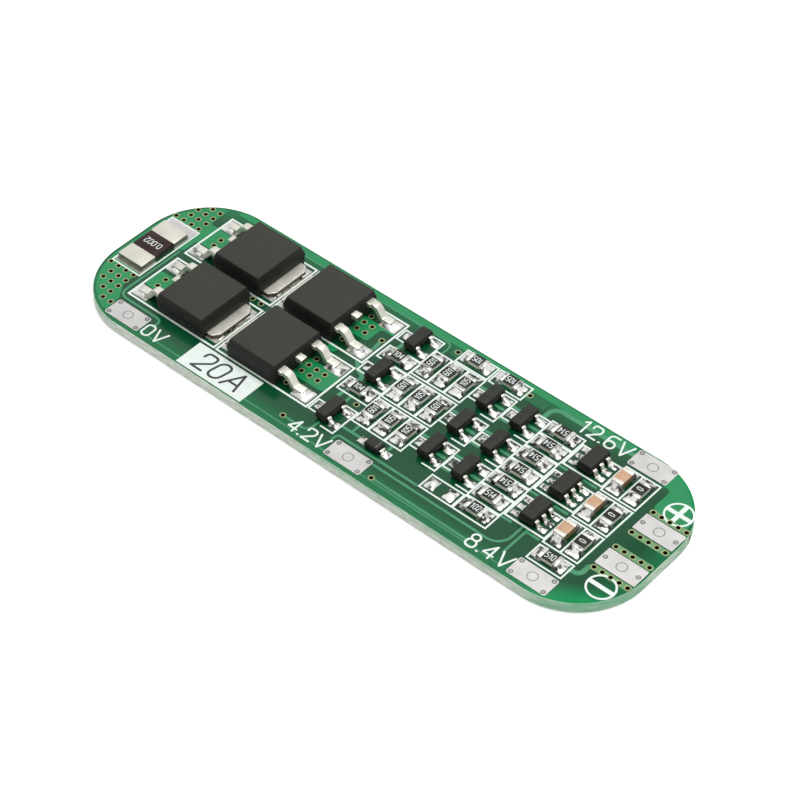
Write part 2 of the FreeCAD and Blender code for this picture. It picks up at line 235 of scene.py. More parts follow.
class Wiring:
    """Nodes of a material or of the world. The last node gives the surface or the light."""

    def __init__(self, owner, last):
        owner.use_nodes = True
        self.tree = owner.node_tree
        self.last = self.tree.nodes[last]

    def node(self, kind, *sources):
        """New node with the sources led into its first inputs."""
        node = self.tree.nodes.new(kind)
        for socket, source in zip(node.inputs, sources):
            self.tree.links.new(source, socket)
        return node

    def lead(self, source, socket):
        """Lead a source into the last node."""
        self.tree.links.new(source, self.last.inputs[socket])

    def plain(self, socket, value):
        """Give the last node a plain value."""
        self.last.inputs[socket].default_value = value

    def place(self):
        """Object coordinates."""
        return self.node("ShaderNodeTexCoord").outputs["Object"]

    def part(self, source, axis):
        """One part of a vector."""
        return self.node("ShaderNodeSeparateXYZ", source).outputs[axis]

    def speckle(self, scale, detail=3.0, stretch=(1, 1, 1)):
        """Noise in object space. The scale is in patches per metre."""
        mapping = self.node("ShaderNodeMapping", self.place())
        mapping.inputs["Scale"].default_value = stretch
        grain = self.node("ShaderNodeTexNoise", mapping.outputs["Vector"])
        grain.inputs["Scale"].default_value = scale
        grain.inputs["Detail"].default_value = detail
        return grain.outputs["Fac"]

    def ramp(self, source, stops):
        """Colour ramp over a value. Each stop is a position and a linear colour."""
        node = self.node("ShaderNodeValToRGB", source)
        elements = node.color_ramp.elements
        while len(elements) < len(stops):
            elements.new(0.5)
        for element, (position, value) in zip(elements, stops):
            element.position = position
            element.color = (*value, 1)
        return node.outputs["Color"]

    def bump(self, source, distance, strength=1.0):
        """Bump from a value. The distance is in metres."""
        node = self.node("ShaderNodeBump")
        node.inputs["Strength"].default_value = strength
        node.inputs["Distance"].default_value = distance
        self.tree.links.new(source, node.inputs["Height"])
        self.lead(node.outputs["Normal"], "Normal")

    def vector(self, operation, source, other=(0, 0, 0)):
        """One step of vector arithmetic."""
        node = self.node("ShaderNodeVectorMath", source)
        node.operation = operation
        if operation == "LENGTH":
            return node.outputs["Value"]
        node.inputs[1].default_value = other
        return node.outputs["Vector"]

    def ranged(self, source, start, end, low_value=0.0, high_value=1.0, curve="SMOOTHSTEP"):
        """Step of a value between two limits."""
        node = self.node("ShaderNodeMapRange", source)
        node.interpolation_type = curve
        limits = {"From Min": start, "From Max": end, "To Min": low_value, "To Max": high_value}
        for socket, value in limits.items():
            node.inputs[socket].default_value = value
        return node.outputs["Result"]

    def combined(self, first, second, operation="MULTIPLY"):
        """Product of two values, or the larger one with MAXIMUM."""
        node = self.node("ShaderNodeMath", first, second)
        node.operation = operation
        return node.outputs["Value"]

    def seen_by(self, *rays):
        """1 for the kinds of ray that are named, and 0 for the others."""
        outputs = self.node("ShaderNodeLightPath").outputs
        value = outputs[rays[0]]
        for ray in rays[1:]:
            value = self.combined(value, outputs[ray], "MAXIMUM")
        return value


def new_finish(name):
    """Nodes of a new finish, which is kept under its name."""
    FINISH[name] = bpy.data.materials.new(name)
    return Wiring(FINISH[name], "Principled BSDF")


def toned(base, factor):
    """Lighter or darker colour."""
    return tuple(min(1.0, channel * factor) for channel in base)


def mottled(name, base, spread, scale, rough, metal=0.0, relief=0.0, relief_scale=None,
            stretch=(1, 1, 1), gloss=0.5):
    """Surface whose colour, roughness and height vary a little over its object."""
    finish = new_finish(name)
    grain = finish.speckle(scale, stretch=stretch)
    stops = [(0.3, toned(base, 1 - spread)), (0.7, toned(base, 1 + spread))]
    finish.lead(finish.ramp(grain, stops), "Base Color")
    finish.lead(finish.ranged(grain, 0.0, 1.0, *rough, "LINEAR"), "Roughness")
    finish.plain("Metallic", metal)
    finish.plain("Specular IOR Level", gloss)
    if relief:
        finish.bump(finish.speckle(relief_scale or scale * 4, 2.0, stretch), relief)


def bare_mask():
    """Mask over bare laminate, brighter towards the routed edge: a painted glow for the light that gets into
    the laminate.
    """
    look = settings("board_look")
    finish = new_finish("mask")
    place = finish.place()
    along = finish.part(place, "X")
    beyond = finish.vector("SUBTRACT", finish.vector("ABSOLUTE", place), (CORNER_X * MM, CORNER_Y * MM, 1))
    outside = finish.vector("MAXIMUM", beyond)
    reach = finish.vector("LENGTH", outside)
    rim = finish.ranged(reach, look.corner_radius - look.glow_depth, look.corner_radius - look.glow_full)
    ends = finish.ranged(along, 21 * MM, 28 * MM, 0.42, 1.0)
    corners = finish.ranged(finish.part(outside, "Y"), 2.8 * MM, 5.2 * MM, 0.35, 1.0)
    wave = finish.ranged(finish.speckle(260), 0.3, 0.7, 0.85, 1.0)
    glow = finish.combined(finish.combined(rim, ends), finish.combined(corners, wave))
    # Painted glow: the colour runs from the mask to the rim colour near the edge, most at the right end
    finish.lead(finish.ramp(glow, [(0.0, look.mask), (1.0, look.mask_rim_painted_glow)]), "Base Color")
    finish.lead(finish.ranged(along, 26 * MM, 29.5 * MM, MASK_GLOSS, 0.2), "Specular IOR Level")
    finish.plain("Roughness", 0.16)
    finish.bump(finish.speckle(1800, 2.0), 0.004 * MM)


def laminate_edge():
    """Routed glass laminate: pale layers with rough fibres, greener near the mask and at the right end."""
    look = settings("board_look")
    base = look.laminate
    finish = new_finish("laminate_edge")
    place = finish.place()
    layers = finish.speckle(900, 4.0, (1, 1, 5))
    pale = finish.ramp(layers, [(0.3, toned(base, 0.7)), (0.52, base), (0.72, toned(base, 1.25))])
    upper = finish.ranged(finish.part(place, "Z"), 0.3 * MM, 1.5 * MM)
    patches = finish.ranged(finish.speckle(70, 1.0), 0.45, 0.62, 0.0, 0.7)
    streaks = finish.ranged(finish.speckle(220, 2.0, (1, 1, 3)), 0.35, 0.6, 0.35, 1.0)
    right_end = finish.ranged(finish.part(place, "X"), 22 * MM, 28 * MM, 0.0, 0.85)
    green = finish.combined(finish.combined(upper, patches), finish.combined(right_end, streaks), "MAXIMUM")
    mix = finish.node("ShaderNodeMix")
    mix.data_type = "RGBA"
    mix.inputs["B"].default_value = (*look.laminate_green, 1)
    for source, socket in ((green, "Factor"), (pale, "A")):
        finish.tree.links.new(source, mix.inputs[socket])
    finish.lead(mix.outputs["Result"], "Base Color")
    finish.plain("Roughness", 0.7)
    finish.bump(layers, 0.05 * MM)


def solder_metal(name, stops, rough, scale=1900):
    """Bright metal with dull and dark facets. Each stop is a position and a share of the solder's colour."""
    base = settings("metal_look").solder
    finish = new_finish(name)
    facets = finish.speckle(scale, 2.0)
    tones = [(position, toned(base, share)) for position, share in stops]
    finish.lead(finish.ramp(facets, tones), "Base Color")
    finish.plain("Metallic", 1.0)
    finish.plain("Roughness", rough)
    finish.bump(facets, 0.06 * MM, 0.5)


def build_finishes():
    """Every finish of the board."""
    board = settings("board_look")
    ink = settings("print_look")
    metal = settings("metal_look")
    package = settings("package_look")
    bare_mask()
    laminate_edge()
    mottled("mask_copper", board.mask_copper, 0.08, 200, (0.14, 0.22), relief=0.005 * MM, relief_scale=1500,
            gloss=MASK_GLOSS)
    mottled("mask_edge", board.mask_edge, 0.1, 300, (0.14, 0.22), relief=0.004 * MM, gloss=MASK_GLOSS)
    mottled("mask_trace", board.mask_trace, 0.1, 600, (0.16, 0.25), relief=0.004 * MM)
    mottled("mask_strip", board.mask_strip, 0.12, 700, (0.2, 0.3), relief=0.006 * MM)
    mottled("ring", board.ring, 0.2, 1500, (0.35, 0.5), metal=0.2)
    mottled("barrel", board.barrel, 0.4, 3000, (0.4, 0.6), metal=0.6)
    mottled("ink", ink.ink, 0.04, 1500, (0.5, 0.65), relief=0.003 * MM)
    mottled("dark_figures", ink.dark, 0.15, 1500, (0.45, 0.6))
    mottled("tin", metal.tin, 0.07, 700, (0.3, 0.42), metal=0.35, relief=0.006 * MM, relief_scale=1200)
    mottled("tin_plug", toned(metal.tin, 0.55), 0.2, 1500, (0.4, 0.55), metal=0.3)
    mottled("tin_mark", toned(metal.tin, 0.16), 0.3, 1500, (0.4, 0.55), gloss=0.3)
    solder_metal("solder", ((0.36, 0.08), (0.42, 0.45), (0.47, 1.0), (0.7, 1.25)), 0.22)
    # Painted shade: darker copy of the solder for the flanks of the fillets
    solder_metal("painted_shade_solder", ((0.36, 0.04), (0.47, 0.14), (0.56, 0.4), (0.68, 0.8)), 0.32)
    solder_metal("foot_solder", ((0.3, 0.12), (0.37, 0.55), (0.43, 0.92), (0.7, 1.1)), 0.3, 1000)
    # Painted shade: darker copy of the solder for the flat lands round the fillets
    solder_metal("land", ((0.38, 0.07), (0.46, 0.22), (0.56, 0.42), (0.68, 0.8)), 0.35)
    solder_metal("chip_end", ((0.34, 0.15), (0.41, 0.5), (0.48, 0.85), (0.66, 1.1)), 0.3)
    mottled("lead", metal.lead, 0.1, 900, (0.26, 0.4), metal=0.55, relief=0.01 * MM, relief_scale=1500)
    mottled("cut_edge", metal.cut, 0.35, 1500, (0.35, 0.55), metal=0.5, relief=0.02 * MM, relief_scale=2500,
            stretch=(1, 1, 0.3))
    mottled("shunt_end", metal.cap, 0.06, 500, (0.32, 0.46), metal=0.3, relief=0.01 * MM)
    # Painted shade for metal sides and the shunt's near fillet; also the colour of the diode's band
    mottled("painted_shade_and_band", metal.side, 0.3, 1100, (0.35, 0.5), metal=0.35, relief=0.015 * MM,
            relief_scale=1800)
    mottled("shunt_coat", package.shunt_coat, 0.12, 900, (0.35, 0.5), relief=0.004 * MM, gloss=0.2)
    mottled("mould", package.mould, 0.1, 1600, (0.55, 0.7), relief=0.012 * MM, relief_scale=MOULD_GRAIN,
            gloss=MOULD_GLOSS)
    # Painted shade: darker copy of the moulding for the housings' sides
    mottled("mould_painted_shade", toned(package.mould, 0.45), 0.2, 1600, (0.4, 0.5), relief=0.006 * MM,
            relief_scale=MOULD_GRAIN, gloss=MOULD_GLOSS)
    mottled("small_mould", package.small_mould, 0.14, 1600, (0.48, 0.62), relief=0.008 * MM,
            relief_scale=MOULD_GRAIN, gloss=MOULD_GLOSS)
    mottled("ceramic", package.ceramic, 0.1, 1500, (0.3, 0.45))
    mottled("coat", package.coat, 0.18, 1500, (0.35, 0.5), gloss=MOULD_GLOSS)
    mottled("capacitor_end", metal.capacitor_end, 0.16, 1500, (0.3, 0.45), metal=0.5, relief=0.012 * MM,
            relief_scale=2500)
    mottled("capacitor", package.capacitor, 0.1, 1000, (0.35, 0.5), relief=0.006 * MM)
    mottled("capacitor_painted_shade", package.capacitor_painted_shade, 0.2, 1000, (0.4, 0.55), relief=0.006 * MM)


# Modelling helpers


def deselect():
    """Empty the selection."""
    bpy.ops.object.select_all(action="DESELECT")


def activate(*objects):
    """Select only these objects, the first one active."""
    deselect()
    for piece in objects:
        piece.select_set(True)
    bpy.context.view_layer.objects.active = objects[0]


def settle(piece):
    """Put the object's place into its mesh."""
    activate(piece)
    bpy.ops.object.transform_apply(location=True, rotation=True, scale=True)


def paint(piece, finish, chosen=None):
    """Give a finish to the whole piece, or to the faces for which chosen(face) is true."""
    mesh = piece.data
    material = FINISH[finish]
    if material.name not in mesh.materials:
        mesh.materials.append(material)
    index = mesh.materials.find(material.name)
    for face in mesh.polygons:
        if chosen is None or chosen(face):
            face.material_index = index


def block(name, corner_low, corner_high, finish):
    """Box from corner to corner, ready to be shaped."""
    deselect()
    middle = (Vector(corner_low) + Vector(corner_high)) / 2
    bpy.ops.mesh.primitive_cube_add(size=1, location=middle)
    piece = bpy.context.object
    piece.name = name
    piece.scale = Vector(corner_high) - Vector(corner_low)
    settle(piece)
    paint(piece, finish)
    return piece


def soften(piece, width, segments=2, angle=math.radians(30)):
    """Round the edges of a piece."""
    activate(piece)
    modifier = piece.modifiers.new("round", "BEVEL")
    modifier.width = width
    modifier.segments = segments
    modifier.limit_method = "ANGLE"
    modifier.angle_limit = angle
    modifier.harden_normals = False
    bpy.ops.object.modifier_apply(modifier=modifier.name)
    bpy.ops.object.shade_smooth_by_angle(angle=math.radians(40))


def select_edges(piece, chosen):
    """Enter edit mode with only the edges selected for which chosen(start, end) is true."""
    activate(piece)
    bpy.context.tool_settings.mesh_select_mode = (False, True, False)
    mesh = piece.data
    for group in (mesh.vertices, mesh.edges, mesh.polygons):
        group.foreach_set("select", [False] * len(group))
    for edge in mesh.edges:
        start, end = (mesh.vertices[i] for i in edge.vertices)
        if chosen(start.co, end.co):
            edge.select = start.select = end.select = True
    bpy.ops.object.mode_set(mode="EDIT")


def leave_edit():
    """Back to object mode."""
    bpy.ops.object.mode_set(mode="OBJECT")


def edited(piece, operator, **options):
    """Run one edit-mode operator on all of a piece."""
    activate(piece)
    bpy.ops.object.mode_set(mode="EDIT")
    bpy.ops.mesh.select_all(action="SELECT")
    operator(**options)
    leave_edit()


def facing(axis, amount=0.9):
    """Test for faces that look along an axis, such as (0, 0, 1)."""
    direction = Vector(axis)
    return lambda face: face.normal.dot(direction) > amount


def joined(name, pieces):
    """One object from several."""
    activate(*pieces)
    if len(pieces) > 1:
        bpy.ops.object.join()
    piece = bpy.context.object
    piece.name = name
    return piece


def copied(piece, name, place, turn=0.0):
    """Copy with its own mesh, turned about Z and then moved."""
    activate(piece)
    bpy.ops.object.duplicate(linked=False)
    twin = bpy.context.object
    twin.name = name
    twin.rotation_euler = (0, 0, turn)
    twin.location = place
    settle(twin)
    return twin


def discard(piece):
    """Remove a pattern piece after its copies are made."""
    activate(piece)
    bpy.ops.object.delete()


def ride(piece, slot, *stands_for):
    """Put a finished piece on the board and hide the CAD nodes that it stands for. The slot is not used."""
    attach(piece, "root")
    if stands_for:
        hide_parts(*stands_for)


def arc(middle, radius, start, end, steps):
    """Points of an arc, in the board's plane."""
    turn = (end - start) / steps
    return [(middle[0] + radius * math.cos(start + turn * i), middle[1] + radius * math.sin(start + turn * i))
            for i in range(steps + 1)]


def rounded_path(points, radius, closed, steps=6):
    """The points with an arc in place of each corner."""
    path = []
    count = len(points)
    for i, point in enumerate(points):
        if not closed and i in (0, count - 1):
            path.append(tuple(point))
            continue
        here = Vector(point)
        back = Vector(points[i - 1]) - here
        ahead = Vector(points[(i + 1) % count]) - here
        half = back.angle(ahead) / 2
        reach = min(radius / math.tan(half), back.length * 0.49, ahead.length * 0.49)
        if half > QUARTER - 0.01 or reach <= 0:
            path.append(tuple(point))
            continue
        start = here + back.normalized() * reach
        end = here + ahead.normalized() * reach
        middle = here + (back.normalized() + ahead.normalized()).normalized() * (reach / math.cos(half))
        first = start - middle
        last = end - middle
        begin = math.atan2(first.y, first.x)
        swing = math.atan2(first.x * last.y - first.y * last.x, first.dot(last))
        path.extend(arc(middle, first.length, begin, begin + swing, steps))
    return path


def both_sides(points, width, closed=False):
    """Both sides of a line of even width, mitred at its corners."""
    count = len(points)
    sides = ([], [])
    for i, point in enumerate(points):
        here = Vector(point)
        before = here - Vector(points[i - 1]) if closed or i else Vector(points[1]) - here
        after = Vector(points[(i + 1) % count]) - here if closed or i < count - 1 else before
        normal_before = Vector((-before.y, before.x)).normalized()
        normal_after = Vector((-after.y, after.x)).normalized()
        mitre = (normal_before + normal_after) / (1 + normal_before.dot(normal_after)) * (width / 2)
        sides[0].append(tuple(here + mitre))
        sides[1].append(tuple(here - mitre))
    return sides


def strip(points, width):
    """Outline of an open line of even width with square ends."""
    left, right = both_sides(points, width)
    return left + right[::-1]


def stroke(points, width, closed=False):
    """Outlines of a drawn line: one with round ends, or two for a closed line."""
    left, right = both_sides(points, width, closed)
    if closed:
        return [left, right]
    ends = []
    for tip, neighbour in ((points[-1], points[-2]), (points[0], points[1])):
        heading = Vector(tip) - Vector(neighbour)
        turn = math.atan2(heading.y, heading.x)
        ends.append(arc(tip, width / 2, turn + QUARTER, turn - QUARTER, 6))
    return [left[:-1] + ends[0] + right[-2:0:-1] + ends[1][:-1]]


def flat_shape(name, outlines, bottom, top, finish, rounding=0.0):
    """Thin plate from closed outlines. An outline inside another one is a hole."""
    curve = bpy.data.curves.new(name, "CURVE")
    curve.dimensions = "2D"
    curve.fill_mode = "BOTH"
    curve.extrude = (top - bottom) / 2 - rounding
    curve.bevel_depth = rounding
    curve.bevel_resolution = 1
    curve.offset = -rounding
    for outline in outlines:
        spline = curve.splines.new("POLY")
        spline.points.add(len(outline) - 1)
        for point, (x, y) in zip(spline.points, outline):
            point.co = (x, y, 0, 1)
        spline.use_cyclic_u = True
    piece = bpy.data.objects.new(name, curve)
    bpy.context.scene.collection.objects.link(piece)
    piece.location = (0, 0, (top + bottom) / 2)
    activate(piece)
    bpy.ops.object.convert(target="MESH")
    piece = bpy.context.object
    settle(piece)
    edited(piece, bpy.ops.mesh.remove_doubles, threshold=MERGE)
    paint(piece, finish)
    return piece


def rectangle(x0, y0, x1, y1):
    """Corners of a rectangle."""
    return [(x0, y0), (x1, y0), (x1, y1), (x0, y1)]


def upright_shape(name, outline, middle_y, width, finish):
    """Plate whose outline stands in the XZ plane, of a width along Y."""
    piece = flat_shape(name, [outline], -width / 2, width / 2, finish)
    piece.rotation_euler = (QUARTER, 0, 0)
    piece.location = (0, middle_y, 0)
    settle(piece)
    return piece


def turned(name, profile, steps, finish):
    """Closed ring profile of (radius, height) points, turned about Z."""
    deselect()
    bpy.ops.mesh.primitive_circle_add(vertices=len(profile), fill_type="NOTHING")
    piece = bpy.context.object
    piece.name = name
    for vertex, (radius, height) in zip(piece.data.vertices, profile):
        vertex.co = (radius, 0, height)
    edited(piece, bpy.ops.mesh.spin, steps=steps, angle=2 * math.pi, center=(0, 0, 0), axis=(0, 0, 1))
    edited(piece, bpy.ops.mesh.remove_doubles, threshold=MERGE / 10)
    edited(piece, bpy.ops.mesh.normals_make_consistent, inside=False)
    paint(piece, finish)
    return piece


def circle(x, y, radius, steps=HOLE_SIDES):
    """Outline of a circle."""
    return arc((x, y), radius, 0, 2 * math.pi, steps)[:-1]


def in_metres(points):
    """Points given in millimetres."""
    return [(x * MM, y * MM) for x, y in points]


def mound(name, place, reach, width, height, cuts=5):
    """Closed solder lump that starts at place and runs along +X.

    height(s, v) gives its height for s from 0 to 1 along it and v from -1 to 1 across it.
    """
    x, y, z = place
    unit = 0.1 * MM
    piece = block(name, (x, y - width / 2, z), (x + reach, y + width / 2, z + unit), "solder")
    edited(piece, bpy.ops.mesh.subdivide, number_cuts=cuts)
    for vertex in piece.data.vertices:
        s = min(1.0, max(0.0, (vertex.co.x - x) / reach))
        v = min(1.0, max(-1.0, (vertex.co.y - y) / (width / 2)))
        vertex.co.z = z + (vertex.co.z - z) / unit * height(s, v)
    bpy.ops.object.shade_smooth_by_angle(angle=math.radians(60))
    return piece


def falling(across, power):
    """Share that falls from 1 in the middle to 0 at the side, more abruptly with a higher power."""
    return max(0.0, 1 - abs(across) ** power)


def uneven(amount, along, across, seed):
    """Factor round 1 that makes the skin of solder lumpy."""
    return 1 + amount * noise.noise(Vector((along + seed, across, seed)))


def seed_at(x, y, turn=0.0):
    """Number that differs from place to place, so that no two lumps are alike."""
    return x * 7000 + y * 3000 + turn * 5


def drafted(corner_low, corner_high, level, above, below, rounding, finish):
    """Housing that narrows from a level. A draft is how far -X, +X and the two sides along Y draw in."""
    body = block("housing", corner_low, corner_high, finish)
    edited(body, bpy.ops.mesh.bisect, plane_co=(0, 0, level), plane_no=(0, 0, 1))
    for vertex in body.data.vertices:
        rise = vertex.co.z - level
        if abs(rise) > MM / 20:
            left, right, side = above if rise > 0 else below
            vertex.co.x += left * MM if vertex.co.x < 0 else -right * MM
            vertex.co.y -= math.copysign(side * MM, vertex.co.y)
    soften(body, *rounding)
    # The housing's sides and underside get the darker copy of the moulding: painted shade
    paint(body, "mould_painted_shade", lambda face: face.normal.z < 0.6)
    return body


def drilled(piece, radius):
    """Cut the board's holes through a piece."""
    corners = [Vector(corner) for corner in piece.bound_box]
    x0, x1 = min(c.x for c in corners) - radius, max(c.x for c in corners) + radius
    y0, y1 = min(c.y for c in corners) - radius, max(c.y for c in corners) + radius
    drills = []
    for x, y in in_metres(HOLES):
        if x0 < x < x1 and y0 < y < y1:
            deselect()
            bpy.ops.mesh.primitive_cylinder_add(vertices=HOLE_SIDES, radius=radius, depth=BOARD_TOP * 2,
                                                location=(x, y, BOARD_TOP / 2))
            drills.append(bpy.context.object)
    if not drills:
        return piece
    drill = joined("drill", drills)
    settle(drill)
    activate(piece)
    modifier = piece.modifiers.new("holes", "BOOLEAN")
    modifier.operation = "DIFFERENCE"
    modifier.solver = "EXACT"
    modifier.object = drill
    bpy.ops.object.modifier_apply(modifier=modifier.name)
    discard(drill)
    return piece


# Lettering


def loop(*points):
    """Closed stroke of a figure."""
    return True, points


def line(*points):
    """Open stroke of a figure."""
    return False, points


FIGURE_HEIGHT = 6.0
FIGURE_GAP = 1.45
SHARP_BEND = 0.2
STROKE_STEP = 0.0007 * MM

# Width and strokes of each figure
FIGURES = {
    "0": (3.4, [loop((0, 0), (3.4, 0), (3.4, 6), (0, 6))]),
    "1": (2.4, [line((0.3, 4.8), (1.6, 6)), line((1.6, 6), (1.6, 0))]),
    "2": (3.4, [line((0, 4.3), (0, 6), (3.4, 6), (3.4, 3.6), (2.6, 2.8)), line((2.6, 2.8), (0, 0)),
                line((0, 0), (3.4, 0))]),
    "3": (3.4, [line((0, 6), (3.3, 6), (3.3, 3.2), (1, 3.2)), line((1, 3.2), (3.4, 3.2), (3.4, 0), (0, 0))]),
    "4": (3.6, [line((2.7, 0), (2.7, 6)), line((2.7, 6), (0, 1.6)), line((0, 1.6), (3.6, 1.6))]),
    "5": (3.4, [line((3.2, 6), (0.3, 6)), line((0.3, 6), (0.1, 3.3)),
                line((0.1, 3.3), (3.4, 3.3), (3.4, 0), (0, 0))]),
    "6": (3.4, [loop((0, 0), (3.4, 0), (3.4, 3.4), (0, 3.4)), line((0, 1.7), (0, 6), (3.2, 6))]),
    "8": (3.4, [loop((0, 0), (3.4, 0), (3.4, 3.2), (0, 3.2)),
                loop((0.3, 3.2), (3.1, 3.2), (3.1, 6), (0.3, 6))]),
    "9": (3.4, [loop((0, 2.6), (3.4, 2.6), (3.4, 6), (0, 6)), line((3.4, 4.3), (3.4, 0), (0.2, 0))]),
    ".": (0.3, [line((0, 0.1), (0.3, 0.1))]),
    "V": (4.4, [line((0, 6), (2.2, 0)), line((2.2, 0), (4.4, 6))]),
    "A": (4.6, [line((0, 0), (2.3, 6)), line((2.3, 6), (4.6, 0)), line((0.9, 2), (3.7, 2))]),
}
ROUND_FIGURES = {"0": 1.6, "2": 1.3, "3": 1.3, "5": 1.3, "6": 1.5, "8": 1.3, "9": 1.5}


def figures(name, text, place, height, stroke_width, bottom, top, finish, turn=0.0, slant=0.0, spread=1.0):
    """Line of figures drawn with an even stroke, centred on its place."""
    scale = height / FIGURE_HEIGHT
    total = sum(FIGURES[letter][0] for letter in text) + FIGURE_GAP * (len(text) - 1)
    pen = -total / 2
    parts = []
    for letter in text:
        width, strokes = FIGURES[letter]
        for closed, points in strokes:
            path = [((x + pen + slant * y) * scale * spread, (y - FIGURE_HEIGHT / 2) * scale)
                    for x, y in rounded_path(points, ROUND_FIGURES.get(letter, SHARP_BEND), closed, 4)]
            lift = len(parts) * STROKE_STEP
            parts.append(flat_shape(name, stroke(path, stroke_width, closed), bottom, top + lift, finish))
        pen += width + FIGURE_GAP
    piece = joined(name, parts)
    activate(piece)
    piece.rotation_euler = (0, 0, turn)
    piece.location = (place[0], place[1], 0)
    settle(piece)
    return piece


# Places on the board, in millimetres from its middle

HOLE_PITCH = 1.02


def field_holes(start_y, step, first_columns):
    """Rows of holes beside the shunt, each from its first column to the fourth."""
    return [(-31.1 + HOLE_PITCH * column, start_y + step * row)
            for row, first in enumerate(first_columns) for column in range(first, 4)]


NEAR_FIELD_HOLES = field_holes(-4.1, -HOLE_PITCH, (0, 1, 1, 2, 3)) + [(-27.0, -8.18)]
FAR_FIELD_HOLES = field_holes(4.9, HOLE_PITCH, (0, 1, 1, 2))
OUTPUT_ROWS = (4.4, 1.3, -0.95, -4.05)
OUTPUT_HOLES = [(27.85 + 0.9 * i, y) for y in OUTPUT_ROWS for i in range(5)]
POWER_HOLES = [(-25.25, 5.15), (-25.25, 4.15), (-25.25, -2.5), (-25.25, -3.6), (-17.2, 1.1), (-16.1, 1.1),
               (-7.1, 6.8), (-7.1, 5.75), (-6.1, 5.75), (-7.1, 4.7), (-6.1, 4.7), (-7.1, 2.7),
               (-7.1, -0.95), (-7.1, -2), (-6.1, -2), (-5.1, -2), (-7.1, -3), (-6.1, -3), (-5.1, -3),
               (-7.1, -5.05)]
TAB_HOLES = [(-15.2, y + i) for y in (-4.85, 2.85) for i in range(5)]
SINGLE_HOLES = [(-4.2, 4.95), (-0.35, -2.95), (2.15, 8.5), (10.75, 8.5), (-4.45, -8.4), (6.7, -8.9)]
HOLES = NEAR_FIELD_HOLES + FAR_FIELD_HOLES + OUTPUT_HOLES + POWER_HOLES + TAB_HOLES + SINGLE_HOLES

CORNER_X = 24.5
CORNER_Y = 2.5
COPPER_RADIUS = 7.2


def corner_arc(side_x, side_y, start, end, radius=COPPER_RADIUS):
    """Arc round one of the board's corners, in millimetres, between two angles in degrees."""
    return arc((side_x * CORNER_X, side_y * CORNER_Y), radius, math.radians(start), math.radians(end), 12)


SHUNT_FIELD = (corner_arc(-1, -1, 253, 180) + corner_arc(-1, 1, 180, 116.5) +
               [(-27.7, 6.25), (-26.9, 6.25), (-24.3, 6.2), (-24.3, 3.5), (-26.9, 3.5), (-26.9, 1.5),
                (-27.85, 1.5), (-27.85, -5.6), (-26.75, -7.3)])
FAR_EDGE_FIELD = [(-26.6, 9.05), (22.2, 9.05), (22.2, 9.78), (-25.2, 9.78), (-26.6, 9.5)]
PLUS_FIELD = [(26.4, 7.5), (27.5, 7.5), (27.5, 4.75)] + corner_arc(1, 1, 18, 75)
COPPER_FIELDS = [
    SHUNT_FIELD,
    FAR_EDGE_FIELD,
    PLUS_FIELD,
    rectangle(-26.5, -4.2, -24.0, -1.85),
    [(-7.9, 3.9), (-5.2, 3.9), (-5.2, 6.05), (-3.8, 6.05), (-3.8, 6.45), (-7.9, 6.45)],
    rectangle(-7.9, -3.85, -3.75, -1.2),
    rectangle(-7.6, 0.7, -6.5, 1.5),
]
EDGE_FIELDS = [rectangle(1.6, 7.75, 12.9, 8.95)]
STRIP_FIELDS = [rectangle(27.5, y - 0.35, 31.86, y + 0.35) for y in OUTPUT_ROWS]

# Width of each trace, radius of its bends and its points
TRACES = [
    (0.25, 0.9, [(-27.15, 1.3), (-27.15, -6.85), (-21.5, -6.85), (-21.5, -8.0)]),
    (0.26, 1.0, [(-4.45, -8.4), (-1.5, -8.4), (-1.4, -6.9)]),
    (0.45, 0.4, [(-4.1, 1.4), (-3.3, 0.6), (-2.4, 0.2), (-2.2, -0.5)]),
    (0.4, 0.1, [(-2.4, 5.2), (-2.4, 6.1)]),
    (0.4, 0.1, [(-2.4, -2.4), (-2.4, -3.2)]),
    (0.3, 0.1, [(-1.4, -2.4), (-1.4, -3.2)]),
    (0.25, 0.1, [(1.65, -4.7), (1.65, -5.85)]),
    (0.28, 0.1, [(0.6, -5.85), (2.95, -5.85)]),
    (0.35, 0.1, [(5.6, -4.7), (5.6, -5.2)]),
    (0.4, 0.1, [(-4.2, 4.95), (-4.05, 3.6)]),
    (0.26, 0.8, [(0.9, -7.7), (0.9, -6.9), (10.3, -6.9)]),
    (0.26, 1.6, [(5.8, -7.6), (20.4, -7.6), (20.4, -4.4)]),
    (0.26, 0.8, [(6.9, -8.9), (17.5, -8.9)]),
    (0.5, 1.6, [(13.4, 6.9), (13.4, 8.8), (22.3, 8.8)]),
    (0.2, 1.2, [(-24.0, 8.95), (1.15, 8.95), (1.15, 7.5)]),
    (0.14, 0.1, [(-22.0, -9.22), (22.0, -9.22)]),
    (0.5, 1.0, [(27.5, -4.3), (27.5, -5.65), (25.9, -5.65)]),
    (0.16, 0.3, [(26.58, 3.6), (26.58, -4.6)]),
    (0.26, 0.2, [(20.95, -4.5), (20.95, -7.9)]),
]
TRACES += [(0.32, 0.1, [(x, y), (x + 0.8, y)]) for x in (6.6, 10.5) for y in (6.4, 2.35, -1.75)]
TRACES += [(0.32, 0.1, [(x, y), (x + 1.1, y)]) for x in (8.9, 12.9) for y in (5.45, 1.35, -2.75)]
TRACES += [(0.32, 0.1, [(10.4, y), (11.3, y)]) for y in (4.45, 0.35, -3.7)]
TRACES += [(0.28, 0.1, [(x, y), (x + 1.3, y)]) for x in (17.9, 21.0) for y in (3.4, -0.75, -4.75)]

